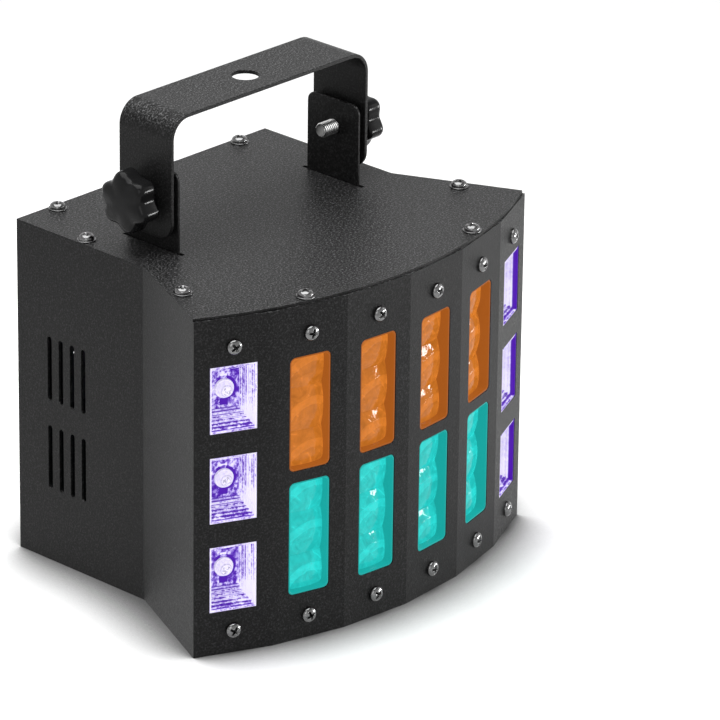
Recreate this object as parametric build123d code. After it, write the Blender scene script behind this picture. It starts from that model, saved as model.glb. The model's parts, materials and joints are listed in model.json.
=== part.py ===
from build123d import *
import math
import os

# A wide-beam stage effect light: a folded steel casing with six front facets, hung from a yoke.
# Millimetres. +Z is up, the front facets look along -Y, and the origin is the middle of the
# underside. Facets count from the left side, as seen from the front.

# Fits shared by all pieces
over = 2.0
slide_gap = 0.3
running_fit = 0.05
seat_fit = 0.02

# Casing plan and sheet
facet_count = 6
facet_turn = 10.0
facet_width = 41.4
flare_length = 70.9
side_length = 89.6
sheet = 1.5
bend_radius = 4.0
ledge_width = 12.0
rear_return_width = 12.0
base_lip = 5.0
lid_edge_inset = 0.4

# Windows of the four inner facets and of the two outer facets
window_width = 23.2
window_height = 60.5
window_gap = 6.0
window_corner = 3.0
window_bottom = 24.6
uv_window_width = 24.6
uv_window_gap = 12.5
uv_window_low_gap = 10.7
uv_window_top_gap = 9.7
uv_window_count = 3
window_lap = 2.6
collar_gap = 0.15
collar_wall = 0.8
collar_set_back = 0.2

# Heights of the front screws and of the casing
low_screw_drop = 12.4
high_screw_rise = 11.6
top_margin = 16.8

# Side vents: groups of upright slots
vent_width = 3.0
vent_height = 34.6
vent_pitch = 8.0
vent_count = 4
vent_first_y = 46.0
vent_low_centre = 57.3
vent_group_gap = 13.8

# Pan head screws: M4 on the lid and the front, M3 on the rear
m4_head_width = 8.0
m4_head_height = 2.9
m4_width = 4.0
m4_length = 8.0
m3_head_width = 6.0
m3_head_height = 2.2
m3_width = 3.0
m3_length = 6.0
screw_hole_play = 0.3
head_crown_share = 0.88
recess_depth_share = 0.6
recess_length_share = 0.56
recess_width_share = 0.13
washer_width = 9.6
washer_height = 0.8
lid_rear_screw_x = 65.0
lid_rear_screw_inset = 4.9
lid_side_screw_inset = 4.9
lid_side_screw_y = 48.0
lid_flare_screw_inset = 6.5
lid_flare_screw_reach = 38.0
lid_front_screw_inset = 5.5
rear_screw_inset = 7.0
rear_screw_edge = 18.0

# Hanging yoke, its ears, studs and knobs
pivot_y = 20.8
pivot_rise = 27.5
ear_outer_x = 65.0
ear_width = 35.3
ear_rise = 15.0
ear_corner = 5.0
ear_foot = 22.0
slit_end_play = 3.2
arm_gap = 3.0
yoke_sheet = 2.0
yoke_width = 36.0
yoke_rise = 44.5
yoke_drop = 19.8
yoke_bend = 10.0
yoke_corner = 9.0
clamp_hole_width = 14.0
friction_washer_width = 20.0
stud_width = 8.0
stud_pitch = 1.25
stud_groove = 0.7
stud_inner_reach = 9.0
stud_chamfer = 0.9
stud_socket = 11.0
knob_width = 32.0
knob_lobes = 6
knob_phase = 42.0
knob_valley_depth = 2.9
knob_outline_points = 24
knob_hub_width = 17.0
knob_hub_height = 5.0
knob_head_height = 12.0
knob_face_round = 2.4
knob_back_round = 1.6

# Moulded lens strips and their holders
lens_cells = 3
lens_cell_height = 22.8
lens_radius = 34.0
lens_crown_depth = 3.6
lens_floor = 2.0
lens_wall = 1.2
lens_flange = 1.6
holder_side_gap = 4.2
holder_end = 7.0
holder_boss_width = 9.0
holder_bush_width = 8.0
holder_bush_height = 4.0

# Stepped reflectors, their lamp boards and lamps
uv_rim = 2.0
uv_steps = 6
uv_cup_depth = 14.0
uv_back_width = 16.0
uv_back_inset = 7.3
uv_wall = 1.2
uv_board_width = 21.0
uv_board_margin = 4.0
board_sheet = 1.6
uv_lamp_width = 10.0
uv_lamp_foot = 1.2
uv_lamp_dome = 8.6

# Swinging lamp turret
turret_y = -25.0
turret_reach = 36.0
carrier_sheet = 2.0
carrier_face_width = 19.5
carrier_web_share = 0.62
turret_shaft_width = 6.0
turret_hub_width = 13.0
turret_hub_height = 10.0
shaft_overhang = 4.0
frame_sheet = 2.0
frame_width = 46.0
frame_back = 30.0
frame_top_reach = 10.0
shelf_front_reach = 22.0
shelf_side_margin = 4.0
bush_width = 10.0
bush_flange_width = 14.0
bush_flange_height = 1.0
led_board_width = 17.5
led_board_height = 40.0
led_pitch = 13.0
leds_per_board = 3
led_foot = 3.6
led_foot_height = 1.0
led_dome = 3.0
carrier_rim = 3.0

# Swing drive: a toothed sector on the turret, turned by a stepping motor
gear_module = 1.0
sector_teeth = 36
sector_teeth_cut = 11
pinion_teeth = 12
pressure_angle = 20.0
addendum_share = 0.8
dedendum_share = 1.0
tooth_play = 0.16
flank_points = 5
gear_height = 5.0
pinion_extra = 0.5
sector_hub_width = 17.0
motor_width = 35.0
motor_height = 20.0
motor_floor_gap = 2.5
motor_ear_width = 8.0
motor_ear_sheet = 1.0
motor_nose_width = 9.0
motor_shaft_width = 5.0
motor_shaft_depth = 14.0

# Cooling fan behind the rear panel
fan_size = 60.0
fan_depth = 15.0
fan_corner = 3.0
fan_bore = 56.0
fan_tip_gap = 0.8
fan_hub_width = 24.0
fan_hub_plate = 2.0
fan_spoke_width = 4.0
fan_spokes = 4
fan_spoke_turn = 45.0
fan_pin_width = 3.0
fan_pin_length = 8.0
fan_blades = 7
fan_blade_sheet = 1.4
fan_blade_tilt = 38.0
fan_blade_chord = 11.0
fan_hole_pitch = 50.0
fan_x = -38.0
fan_drop = 72.0
grille_bar = 2.4
grille_slot = 3.4
grille_rim = 2.5

# Control board, display and push buttons
panel_x = 38.0
panel_drop = 44.0
control_width = 66.0
control_height = 48.0
post_width = 5.0
post_length = 9.0
post_inset = 3.5
display_width = 30.0
display_height = 12.0
display_rise = 10.0
display_set_back = 0.6
button_count = 4
button_pitch = 14.0
button_drop = 11.0
button_width = 8.0
button_stand = 2.2
button_round = 0.7
button_flange_width = 10.6
button_flange_height = 1.0
button_stem_width = 3.4
button_travel = 0.8
switch_size = 6.0
switch_height = 3.2
eye_width = 5.0
eye_stand = 1.0
eye_offset = 24.0
sound_hole_width = 2.5
sound_can_width = 9.0

# Mains inlet with its fuse drawer
inlet_x = 45.0
inlet_z = 42.0
inlet_width = 28.0
inlet_height = 33.0
inlet_depth = 24.0
inlet_flange_width = 50.0
inlet_flange_height = 38.0
inlet_flange_sheet = 2.5
inlet_flange_corner = 4.0
inlet_screw_pitch = 40.0
socket_width = 24.0
socket_height = 16.4
socket_depth = 16.0
socket_rise = 6.0
socket_chamfer = 5.0
prong_width = 2.0
prong_height = 4.0
prong_length = 11.0
prong_pitch = 7.0
prong_offset = 2.0
drawer_width = 19.0
drawer_height = 7.6
drawer_depth = 17.0
drawer_drop = 9.6
drawer_lip = 1.2
drawer_notch = 2.2
drawer_notch_share = 0.5

# Power board and the eye for a safety wire
power_x = -22.0
power_rear_gap = 5.0
power_width = 88.0
power_depth = 52.0
power_post = 6.0
power_part_share = 0.25
coil_size = 22.0
coil_height = 18.0
capacitor_width = 12.0
capacitor_height = 20.0
sink_width = 13.0
sink_height = 22.0
sink_sheet = 2.0
safety_hole_width = 10.0
safety_width = 26.0
safety_height = 14.0
safety_reach = 20.0
safety_hole_reach = 12.0
safety_sheet = 2.0
safety_drop = 24.0
safety_screw_pitch = 17.0


def cosd(angle):
    return math.cos(math.radians(angle))


def sind(angle):
    return math.sin(math.radians(angle))


def tand(angle):
    return math.tan(math.radians(angle))


# Heights that follow from the windows
upper_window_bottom = window_bottom + window_height + window_gap
low_screw_z = window_bottom - low_screw_drop
high_screw_z = upper_window_bottom + window_height + high_screw_rise
body_height = high_screw_z + top_margin
wall_top = body_height - sheet
pivot_z = body_height + pivot_rise
panel_z = body_height - panel_drop
fan_z = body_height - fan_drop
window_centres = [window_bottom + window_height / 2, upper_window_bottom + window_height / 2]
uv_window_bottom = low_screw_z + uv_window_low_gap
uv_room = high_screw_z - uv_window_top_gap - uv_window_bottom + uv_window_gap
uv_pitch = uv_room / uv_window_count
uv_window_height = uv_pitch - uv_window_gap
uv_back_height = uv_window_height - 2 * uv_back_inset
uv_centres = [uv_window_bottom + uv_window_height / 2 + step * uv_pitch for step in range(uv_window_count)]

# The circle that all the front facets touch
apothem = facet_width / 2 / tand(facet_turn / 2)
outer_turn = facet_turn * (facet_count - 1) / 2
holder_width = facet_width - 2 * holder_side_gap
uv_flange_width = uv_window_width + 2 * window_lap
mouth_inset = collar_gap + collar_wall
uv_mouth_width = uv_window_width - 2 * mouth_inset
uv_mouth_height = uv_window_height - 2 * mouth_inset
corner_return_width = (facet_width - uv_flange_width) / 2 - slide_gap


def half_plan():
    """Outer corners of the casing's right half, from the front fold round to the rear corner."""
    corners = [(0, 0)]
    for step in range(facet_count // 2):
        angle = facet_turn * (2 * step + 1) / 2
        x, y = corners[-1]
        corners.append((x + facet_width * cosd(angle), y + facet_width * sind(angle)))
    x, y = corners[-1]
    corners.append((x - flare_length * sind(outer_turn), y + flare_length * cosd(outer_turn)))
    x, y = corners[-1]
    corners.append((x, y + side_length))
    return [(x, y - corners[-1][1] / 2) for x, y in corners]


corners = half_plan()
front_y = corners[0][1]
rear_x, rear_y = corners[-1]
bend_x, bend_y = corners[-2]
arc_centre_y = front_y + facet_width / 2 / sind(facet_turn / 2)
rear_inner_y = rear_y - sheet
power_y = rear_inner_y - sheet - power_rear_gap - power_depth / 2


def moved_line(start, end, inset):
    """The line through two corners, moved into the casing: a point on it and its direction."""
    along_x, along_y = end[0] - start[0], end[1] - start[1]
    length = math.hypot(along_x, along_y)
    return (start[0] - inset * along_y / length, start[1] + inset * along_x / length), (along_x, along_y)


def crossing(first, second):
    """Where two lines cross."""
    (x1, y1), (along_x1, along_y1) = first
    (x2, y2), (along_x2, along_y2) = second
    spread = along_x1 * along_y2 - along_y1 * along_x2
    share = ((x2 - x1) * along_y2 - (y2 - y1) * along_x2) / spread
    return (x1 + share * along_x1, y1 + share * along_y1)


def plan_outline(front, side, rear):
    """The casing's outline with its front, its sides with their flares, and its rear moved in."""
    insets = [front] * (facet_count // 2) + [side, side]
    lines = [moved_line(corners[i], corners[i + 1], inset) for i, inset in enumerate(insets)]
    middle = ((0, 0), (0, 1))
    back = ((0, rear_y - rear), (1, 0))
    lines = [middle] + lines + [back]
    right = [crossing(lines[i], lines[i + 1]) for i in range(len(lines) - 1)]
    return right + [(-x, y) for x, y in reversed(right[1:])]


def plan_plate(low, high, front=0, side=0, rear=0):
    """A plate of the casing's outline between two heights, with round bends at the flares."""
    points = plan_outline(front, side, rear)
    face = Polygon(*points, align=None)
    bend = Vector(*points[facet_count // 2 + 1])
    soft = [v for v in face.vertices() if abs(abs(v.X) - bend.X) < sheet and abs(v.Y - bend.Y) < sheet]
    face = fillet(soft, bend_radius + side)
    return Pos(0, 0, low) * extrude(face, amount=high - low, dir=(0, 0, 1))


def block(x0, x1, y0, y1, z0, z1):
    """A block between its lowest and highest corners."""
    return Pos((x0 + x1) / 2, (y0 + y1) / 2, (z0 + z1) / 2) * Box(abs(x1 - x0), abs(y1 - y0), abs(z1 - z0))


def mirrored(shape):
    """The same piece on the left side."""
    return mirror(shape, about=Plane.YZ)


def facet_place(index):
    """A facet's own frame: x across it, y up from the casing's base, z outward from its face."""
    angle = facet_turn * (index - (facet_count - 1) / 2)
    centre = (apothem * sind(angle), arc_centre_y - apothem * cosd(angle), 0)
    return Plane(origin=centre, x_dir=(cosd(angle), sind(angle), 0),
                 z_dir=(sind(angle), -cosd(angle), 0)).location


def rear_place(x, z):
    """A frame on the rear panel's outer face: z looks out along +Y, y is up."""
    return Plane(origin=(x, rear_y, z), x_dir=(-1, 0, 0), z_dir=(0, 1, 0)).location


inner_facets = range(1, facet_count - 1)
outer_facets = [0, facet_count - 1]


def pan_screw(head_width, head_height, width, length):
    """A pan head screw with a cross recess, its head standing on z = 0."""
    crown = head_width * head_crown_share
    head = extrude(Circle(head_width / 2), head_height)
    head = head & Pos(0, 0, head_height - crown) * Sphere(crown)
    recess_depth = head_height * recess_depth_share
    recess_length = head_width * recess_length_share
    recess_width = head_width * recess_width_share
    for turn in (0, 90):
        slot = block(-recess_length / 2, recess_length / 2, -recess_width / 2, recess_width / 2,
                     head_height - recess_depth, head_height + over)
        head = head - Rot(0, 0, turn) * slot
    shank = Pos(0, 0, -length) * extrude(Circle(width / 2), length + head_height - recess_depth)
    return head + shank


def m4_screw():
    return pan_screw(m4_head_width, m4_head_height, m4_width, m4_length)


def m3_screw():
    return pan_screw(m3_head_width, m3_head_height, m3_width, m3_length)


def bore(width, low, high):
    """A round cut between two heights of its own frame."""
    return Pos(0, 0, low) * extrude(Circle(width / 2), high - low)


# Places of the screws
def lid_screw_places():
    """The eight screws of the lid, each with a washer, as points on the plan."""
    flare_x = bend_x + lid_flare_screw_reach * sind(outer_turn) - lid_flare_screw_inset * cosd(outer_turn)
    flare_y = bend_y - lid_flare_screw_reach * cosd(outer_turn) - lid_flare_screw_inset * sind(outer_turn)
    front = facet_place(facet_count - 2) * Pos(0, 0, -lid_front_screw_inset)
    right = [
        (lid_rear_screw_x, rear_y - lid_rear_screw_inset),
        (rear_x - lid_side_screw_inset, lid_side_screw_y),
        (flare_x, flare_y),
        (front.position.X, front.position.Y),
    ]
    return right + [(-x, y) for x, y in right]


def front_screw_places():
    """Two screws on each facet, above and below its windows."""
    return [facet_place(i) * Pos(0, z, 0) for i in range(facet_count) for z in (low_screw_z, high_screw_z)]


def wall_screw_places():
    """The rear panel's screws into the side walls' returns."""
    heights = (rear_screw_edge, body_height / 2, body_height - rear_screw_edge)
    return [rear_place(side * (rear_x - rear_screw_inset), z) for side in (-1, 1) for z in heights]


def fan_screw_places():
    reach = fan_hole_pitch / 2
    return [rear_place(fan_x + i * reach, fan_z + j * reach) for i in (-1, 1) for j in (-1, 1)]


def inlet_screw_places():
    reach = inlet_screw_pitch / 2
    return [rear_place(inlet_x + i * reach, inlet_z) * Pos(0, 0, inlet_flange_sheet) for i in (-1, 1)]


def safety_screw_places():
    reach = safety_screw_pitch / 2
    z = body_height - safety_drop + safety_sheet + (safety_height - safety_sheet) / 2
    return [rear_place(i * reach, z) * Pos(0, 0, safety_sheet) for i in (-1, 1)]


lid_screw_hole = m4_width + 2 * screw_hole_play
rear_screw_hole = m3_width + 2 * screw_hole_play


# Casing
def base_plate():
    """The floor of the casing, with a lip turned up inside the walls."""
    floor = plan_plate(0, sheet, sheet, sheet, sheet)
    lip = plan_plate(0, base_lip, sheet, sheet, sheet)
    lip = lip - plan_plate(-over, base_lip + over, 2 * sheet, 2 * sheet, 2 * sheet)
    return floor + lip


def vent_cuts():
    """Two groups of upright slots through the right side wall."""
    slot = Rot(0, 0, 90) * SlotOverall(vent_height, vent_width)
    cut = extrude(slot, 2 * (sheet + over))
    cuts = []
    for step in range(vent_count):
        for z in (vent_low_centre, vent_low_centre + vent_height + vent_group_gap):
            plane = Plane(origin=(rear_x - sheet - over, vent_first_y + step * vent_pitch, z),
                          x_dir=(0, 1, 0), z_dir=(1, 0, 0))
            cuts.append(plane.location * cut)
    return cuts


def side_wall():
    """The right side wall and flare in one bent sheet, with returns and a ledge for the lid."""
    start = base_lip + slide_gap
    skin = plan_plate(0, wall_top, sheet, 0, 0) - plan_plate(-over, body_height, -over, sheet, -over)
    front_return = plan_plate(start, wall_top, sheet, 0, 0)
    front_return = front_return - plan_plate(0, body_height, 2 * sheet, -over, -over)
    front_return = front_return - plan_plate(0, body_height, -over, corner_return_width, -over)
    rear_return = plan_plate(start, wall_top, sheet, 0, sheet)
    rear_return = rear_return - plan_plate(0, body_height, -over, -over, 2 * sheet)
    rear_return = rear_return - plan_plate(0, body_height, -over, rear_return_width, -over)
    ledge = plan_plate(wall_top - sheet, wall_top, sheet, 0, sheet)
    ledge = ledge - plan_plate(0, body_height, -over, ledge_width, -over)
    right = block(0, 2 * facet_width * facet_count, -2 * rear_y, 2 * rear_y, -over, body_height)
    wall = (skin + front_return + rear_return + ledge) & right
    for cut in vent_cuts():
        wall = wall - cut
    for x, y in lid_screw_places():
        wall = wall - Pos(x, y, 0) * bore(lid_screw_hole, wall_top - sheet - over, wall_top + over)
    for place in wall_screw_places():
        wall = wall - place * bore(rear_screw_hole, -2 * sheet - over, -sheet / 2)
    return wall


def front_panel():
    """The folded front: six facets with their windows and screw holes, and a ledge for the lid."""
    panel = plan_plate(0, wall_top) - plan_plate(-over, body_height, sheet, -over, -over)
    inner_side = ledge_width + slide_gap
    ledge = plan_plate(wall_top - sheet, wall_top, 0, inner_side, 0)
    ledge = ledge - plan_plate(0, body_height, ledge_width, inner_side - over, -over)
    panel = panel + ledge
    window = extrude(RectangleRounded(window_width, window_height, window_corner), sheet + 2 * over)
    uv_window = extrude(Rectangle(uv_window_width, uv_window_height), sheet + 2 * over)
    for index in inner_facets:
        for z in window_centres:
            panel = panel - facet_place(index) * Pos(0, z, -sheet - over) * window
    for index in outer_facets:
        for z in uv_centres:
            panel = panel - facet_place(index) * Pos(0, z, -sheet - over) * uv_window
    for place in front_screw_places():
        panel = panel - place * bore(lid_screw_hole, -sheet - over, over)
    for x, y in lid_screw_places():
        panel = panel - Pos(x, y, 0) * bore(lid_screw_hole, wall_top - sheet - over, wall_top + over)
    return panel


def grille_cuts():
    """Rows of slots through the rear panel, inside the fan's bore."""
    reach = fan_bore / 2 - grille_rim
    pitch = grille_slot + grille_bar
    rows = int(reach // pitch)
    cuts = []
    for row in range(-rows, rows + 1):
        half = math.sqrt(reach ** 2 - (abs(row) * pitch) ** 2) - grille_slot / 2
        if half > grille_slot:
            slot = extrude(SlotOverall(2 * half, grille_slot), sheet + 2 * over)
            cuts.append(rear_place(fan_x, fan_z + row * pitch) * Pos(0, 0, -sheet - over) * slot)
    return cuts


def button_places():
    """The push buttons' centres on the rear panel."""
    middle = (button_count - 1) / 2
    return [rear_place(panel_x + (step - middle) * button_pitch, panel_z - button_drop)
            for step in range(button_count)]


def rear_cut(width, height):
    """A square-cornered cut through the rear panel about its own centre."""
    return Pos(0, 0, -sheet - over) * extrude(Rectangle(width, height), sheet + 2 * over)


def rear_panel():
    """The rear panel between the side walls, with its cut-outs and a ledge for the lid."""
    panel = plan_plate(0, wall_top, 0, sheet, 0) - plan_plate(-over, body_height, -over, sheet - over, sheet)
    inner_side = ledge_width + slide_gap
    ledge = plan_plate(wall_top - sheet, wall_top, 0, inner_side, 0)
    ledge = ledge - plan_plate(0, body_height, -over, inner_side - over, ledge_width)
    panel = panel + ledge
    for cut in grille_cuts():
        panel = panel - cut
    display = rear_place(panel_x, panel_z + display_rise)
    panel = panel - display * rear_cut(display_width + 2 * slide_gap, display_height + 2 * slide_gap)
    inlet = rear_place(inlet_x, inlet_z)
    panel = panel - inlet * rear_cut(inlet_width + 2 * slide_gap, inlet_height + 2 * slide_gap)
    for place in button_places():
        panel = panel - place * bore(button_width + 2 * slide_gap, -sheet - over, over)
    for offset, width in ((eye_offset, eye_width + 2 * slide_gap), (-eye_offset, sound_hole_width)):
        place = rear_place(panel_x + offset, panel_z + display_rise)
        panel = panel - place * bore(width, -sheet - over, over)
    places = wall_screw_places() + fan_screw_places() + inlet_screw_places() + safety_screw_places()
    for place in places:
        panel = panel - place * bore(rear_screw_hole, -sheet - safety_sheet - over, over)
    for x, y in lid_screw_places():
        panel = panel - Pos(x, y, 0) * bore(lid_screw_hole, wall_top - sheet - over, wall_top + over)
    return panel


def lid():
    """The flat lid: its front edge is one curve just inside the facets, and the ears pass through."""
    disc = extrude(Circle(apothem - lid_edge_inset), body_height + over)
    cover = plan_plate(wall_top, body_height) & Pos(0, arc_centre_y, 0) * disc
    slit_x = ear_outer_x - sheet / 2
    slit_width = sheet + 2 * slide_gap
    slit_length = ear_width + 2 * slit_end_play
    for side in (-1, 1):
        cover = cover - block(side * slit_x - slit_width / 2, side * slit_x + slit_width / 2,
                              pivot_y - slit_length / 2, pivot_y + slit_length / 2,
                              wall_top - over, body_height + over)
    for x, y in lid_screw_places():
        cover = cover - Pos(x, y, 0) * bore(lid_screw_hole, wall_top - over, body_height + over)
    return cover


# Hanging yoke
def across_x(shape, start):
    """A face drawn in y and z, thickened along +X from a given x by its own extrusion."""
    return Plane(origin=(start, 0, 0), x_dir=(0, 1, 0), z_dir=(1, 0, 0)).location * shape


def ear():
    """The right ear: an upright plate through the lid, on a foot that lies under the lid."""
    top = pivot_z + ear_rise
    foot_low = wall_top - sheet
    face = Rectangle(ear_width, top - foot_low)
    face = fillet(face.vertices().group_by(Axis.Y)[-1], ear_corner)
    face = Pos(pivot_y, (top + foot_low) / 2) * face
    face = face - Pos(pivot_y, pivot_z) * Circle(stud_width / 2 + running_fit)
    plate = across_x(extrude(face, sheet), ear_outer_x - sheet)
    foot = block(ear_outer_x - sheet - ear_foot, ear_outer_x,
                 pivot_y - ear_width / 2, pivot_y + ear_width / 2, foot_low, wall_top)
    return plate + foot


yoke_inner_x = ear_outer_x + arm_gap
yoke_outer_x = yoke_inner_x + yoke_sheet
yoke_top = pivot_z + yoke_rise
arm_bottom = pivot_z - yoke_drop


def strap_face(half_span, top, radius):
    """An upright rectangle with round upper corners, drawn in x and z."""
    face = Rectangle(2 * half_span, top - arm_bottom + over)
    face = fillet(face.vertices().group_by(Axis.Y)[-1], radius)
    return Pos(0, (top + arm_bottom - over) / 2) * face


def yoke():
    """The strap bent over the casing, with a round hole for a clamp bolt."""
    strap = strap_face(yoke_outer_x, yoke_top, yoke_bend + yoke_sheet)
    strap = strap - Pos(0, -over) * strap_face(yoke_inner_x, yoke_top - yoke_sheet + over, yoke_bend)
    place = Plane(origin=(0, pivot_y + yoke_width / 2, 0), x_dir=(1, 0, 0), z_dir=(0, -1, 0)).location
    solid = place * extrude(strap, yoke_width)
    side = Rectangle(yoke_width, yoke_top - arm_bottom + over)
    side = fillet(side.vertices().group_by(Axis.Y)[0], yoke_corner)
    side = Pos(pivot_y, (yoke_top + arm_bottom + over) / 2) * side
    side = side - Pos(pivot_y, pivot_z) * Circle(stud_width / 2 + running_fit)
    solid = solid & across_x(extrude(side, 2 * yoke_outer_x), -yoke_outer_x)
    return solid - Pos(0, pivot_y, 0) * bore(clamp_hole_width, yoke_top - yoke_sheet - over, yoke_top + over)


def pivot_place(x):
    """A frame on the yoke's pivot: z looks along +X."""
    return Plane(origin=(x, pivot_y, pivot_z), x_dir=(0, 1, 0), z_dir=(1, 0, 0)).location


def friction_washer():
    """The ring that keeps the yoke's arm off the ear."""
    ring = Circle(friction_washer_width / 2) - Circle(stud_width / 2 + running_fit)
    return pivot_place(ear_outer_x) * extrude(ring, arm_gap - slide_gap)


knob_x = yoke_outer_x + slide_gap


def stud():
    """The threaded stud of a knob, from its ringed free end inside the ear to its end in the knob."""
    start = ear_outer_x - sheet - stud_inner_reach
    end = knob_x + stud_socket
    radius = stud_width / 2
    points = [(0, 0), (radius - stud_chamfer, 0), (radius, stud_chamfer)]
    ridges = int((stud_inner_reach - stud_chamfer) // stud_pitch)
    for ridge in range(ridges):
        low = stud_chamfer + ridge * stud_pitch
        points += [(radius - stud_groove, low + stud_pitch / 2), (radius, low + stud_pitch)]
    points += [(radius, end - start), (0, end - start)]
    profile = Plane.XZ * Polygon(*points, align=None)
    return pivot_place(start) * revolve(profile, axis=Axis.Z)


def star_knob():
    """A knob with a wavy edge of six lobes on a round hub, moulded over its stud."""
    wave = knob_valley_depth / 2
    outline = []
    for step in range(knob_outline_points):
        angle = step * 360 / knob_outline_points
        reach = knob_width / 2 - wave + wave * cosd(knob_lobes * (angle - knob_phase))
        outline.append((-reach * cosd(angle), reach * sind(angle)))
    star = make_face(Spline(*outline, periodic=True))
    head = extrude(star, knob_head_height, dir=(0, 0, 1))
    head = fillet(head.edges().group_by(Axis.Z)[-1], knob_face_round)
    head = fillet(head.edges().group_by(Axis.Z)[0], knob_back_round)
    hub = extrude(Circle(knob_hub_width / 2), knob_hub_height + knob_head_height / 2)
    body = Pos(0, 0, knob_hub_height) * head + hub
    return pivot_place(knob_x) * (body - bore(stud_width + 2 * seat_fit, -over, stud_socket + seat_fit))


# Lens strips behind the inner facets
lens_width = window_width - 2 * mouth_inset
lens_height = window_height - 2 * mouth_inset
lens_corner_round = window_corner - mouth_inset
lens_corner = math.hypot(lens_width / 2, lens_cell_height / 2)
lens_drop = lens_radius - math.sqrt(lens_radius ** 2 - lens_corner ** 2)
lens_floor_top = -(lens_crown_depth + lens_drop)
lens_back = lens_floor_top - lens_floor


def rounded_plate(width, height, radius, low, high):
    """A plate with round corners between two heights of its own frame."""
    return Pos(0, 0, low) * extrude(RectangleRounded(width, height, radius), high - low)


def lens_strip():
    """A clear pan with three bulging cells, a flange, and a collar that lines the window."""
    flange = rounded_plate(window_width + 2 * window_lap, window_height + 2 * window_lap,
                           window_corner + window_lap, -sheet - lens_flange, -sheet)
    collar = rounded_plate(window_width - 2 * collar_gap, window_height - 2 * collar_gap,
                           window_corner - collar_gap, -sheet - lens_flange, -collar_set_back)
    pan = rounded_plate(lens_width + 2 * lens_wall, lens_height + 2 * lens_wall,
                        lens_corner_round + lens_wall, lens_back, -sheet)
    hollow = rounded_plate(lens_width, lens_height, lens_corner_round, lens_floor_top, over)
    strip = flange + collar + pan - hollow
    for cell in range(lens_cells):
        y = (cell - (lens_cells - 1) / 2) * lens_cell_height
        low = max(y - lens_cell_height / 2, -lens_height / 2)
        high = min(y + lens_cell_height / 2, lens_height / 2)
        ball = Pos(0, y, -lens_crown_depth - lens_radius) * Sphere(lens_radius)
        room = block(-lens_width / 2, lens_width / 2, low, high, lens_floor_top - lens_floor / 2, 0)
        strip = strip + (ball & room)
    return strip


holder_front = -sheet - lens_flange


def holder_bosses(solid, back):
    """The spacers and threaded bushes round a facet's two screws, added and drilled."""
    for z in (low_screw_z, high_screw_z):
        spacer = Pos(0, z, 0) * bore(holder_boss_width, back, -sheet)
        bush = Pos(0, z, 0) * bore(holder_bush_width, back - holder_bush_height, back)
        solid = solid + spacer + bush
    for z in (low_screw_z, high_screw_z):
        thread = bore(m4_width + 2 * running_fit, back - holder_bush_height - over, over)
        solid = solid - Pos(0, z, 0) * thread
    return solid


def strip_length():
    """Length and middle height of the strips that the front screws hold."""
    return high_screw_z - low_screw_z + 2 * holder_end, (high_screw_z + low_screw_z) / 2


def lens_holder():
    """The plate behind a facet that clamps its two lens strips."""
    length, middle = strip_length()
    back = holder_front - sheet
    plate = Pos(0, middle, back) * extrude(Rectangle(holder_width, length), sheet)
    gap = lens_wall + slide_gap
    for z in window_centres:
        opening = rounded_plate(lens_width + 2 * gap, lens_height + 2 * gap, lens_corner_round + gap,
                                back - over, holder_front + over)
        plate = plate - Pos(0, z, 0) * opening
    return holder_bosses(plate, back)


# Stepped reflectors behind the outer facets
def cup_sizes():
    """Width, height, front and back of each step of a cup, from its mouth to its floor."""
    steps = [(uv_mouth_width, uv_mouth_height, -sheet, -sheet - uv_rim)]
    depth = (uv_cup_depth - sheet - uv_rim) / uv_steps
    for step in range(uv_steps):
        share = (step + 1) / uv_steps
        front = -sheet - uv_rim - step * depth
        steps.append((uv_mouth_width + share * (uv_back_width - uv_mouth_width),
                      uv_mouth_height + share * (uv_back_height - uv_mouth_height), front, front - depth))
    return steps


def uv_reflector():
    """A strip with three cups that narrow in steps, lined windows before them and lamps' openings behind."""
    length, middle = strip_length()
    strip = Pos(0, middle, holder_front) * extrude(Rectangle(uv_flange_width, length), lens_flange)
    strip = holder_bosses(strip, holder_front)
    for z in uv_centres:
        for width, height, front, back in cup_sizes():
            floor = max(back - uv_wall, -uv_cup_depth)
            shell = extrude(Rectangle(width + 2 * uv_wall, height + 2 * uv_wall), front - floor)
            strip = strip + Pos(0, z, floor) * shell
    collar_bottom = -sheet - uv_rim / 2
    collar_height = -collar_set_back - collar_bottom
    for z in uv_centres:
        collar = Rectangle(uv_window_width - 2 * collar_gap, uv_window_height - 2 * collar_gap)
        strip = strip + Pos(0, z, collar_bottom) * extrude(collar, collar_height)
    mouth = extrude(Rectangle(uv_mouth_width, uv_mouth_height), over + collar_height)
    for z in uv_centres:
        strip = strip - Pos(0, z, collar_bottom) * mouth
        for width, height, front, back in cup_sizes():
            strip = strip - Pos(0, z, back) * extrude(Rectangle(width, height), front - back)
    return strip


def uv_board():
    """The lamp board behind the three cups."""
    height = uv_centres[-1] - uv_centres[0] + uv_back_height + 2 * uv_board_margin
    middle = (uv_centres[-1] + uv_centres[0]) / 2
    board = extrude(Rectangle(uv_board_width, height), board_sheet)
    return Pos(0, middle, -uv_cup_depth - board_sheet) * board


def uv_lamps():
    """Three domed lamps on the board, one in each cup."""
    foot = extrude(Circle(uv_lamp_width / 2), uv_lamp_foot)
    dome = Pos(0, 0, uv_lamp_foot) * Sphere(uv_lamp_dome / 2)
    dome = dome & extrude(Circle(uv_lamp_width), uv_lamp_foot + uv_lamp_dome)
    lamp = foot + dome
    return [Pos(0, z, -uv_cup_depth) * lamp for z in uv_centres]


# Swinging lamp turret
shelf_top = base_lip + motor_floor_gap - sheet + motor_height + frame_sheet
gear_low = shelf_top + bush_flange_height + slide_gap
carrier_low = gear_low + gear_height + slide_gap
carrier_high = window_centres[1] + led_board_height / 2 + carrier_rim
top_arm_low = carrier_high + bush_flange_height + 2 * slide_gap
top_arm_high = top_arm_low + frame_sheet


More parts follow.
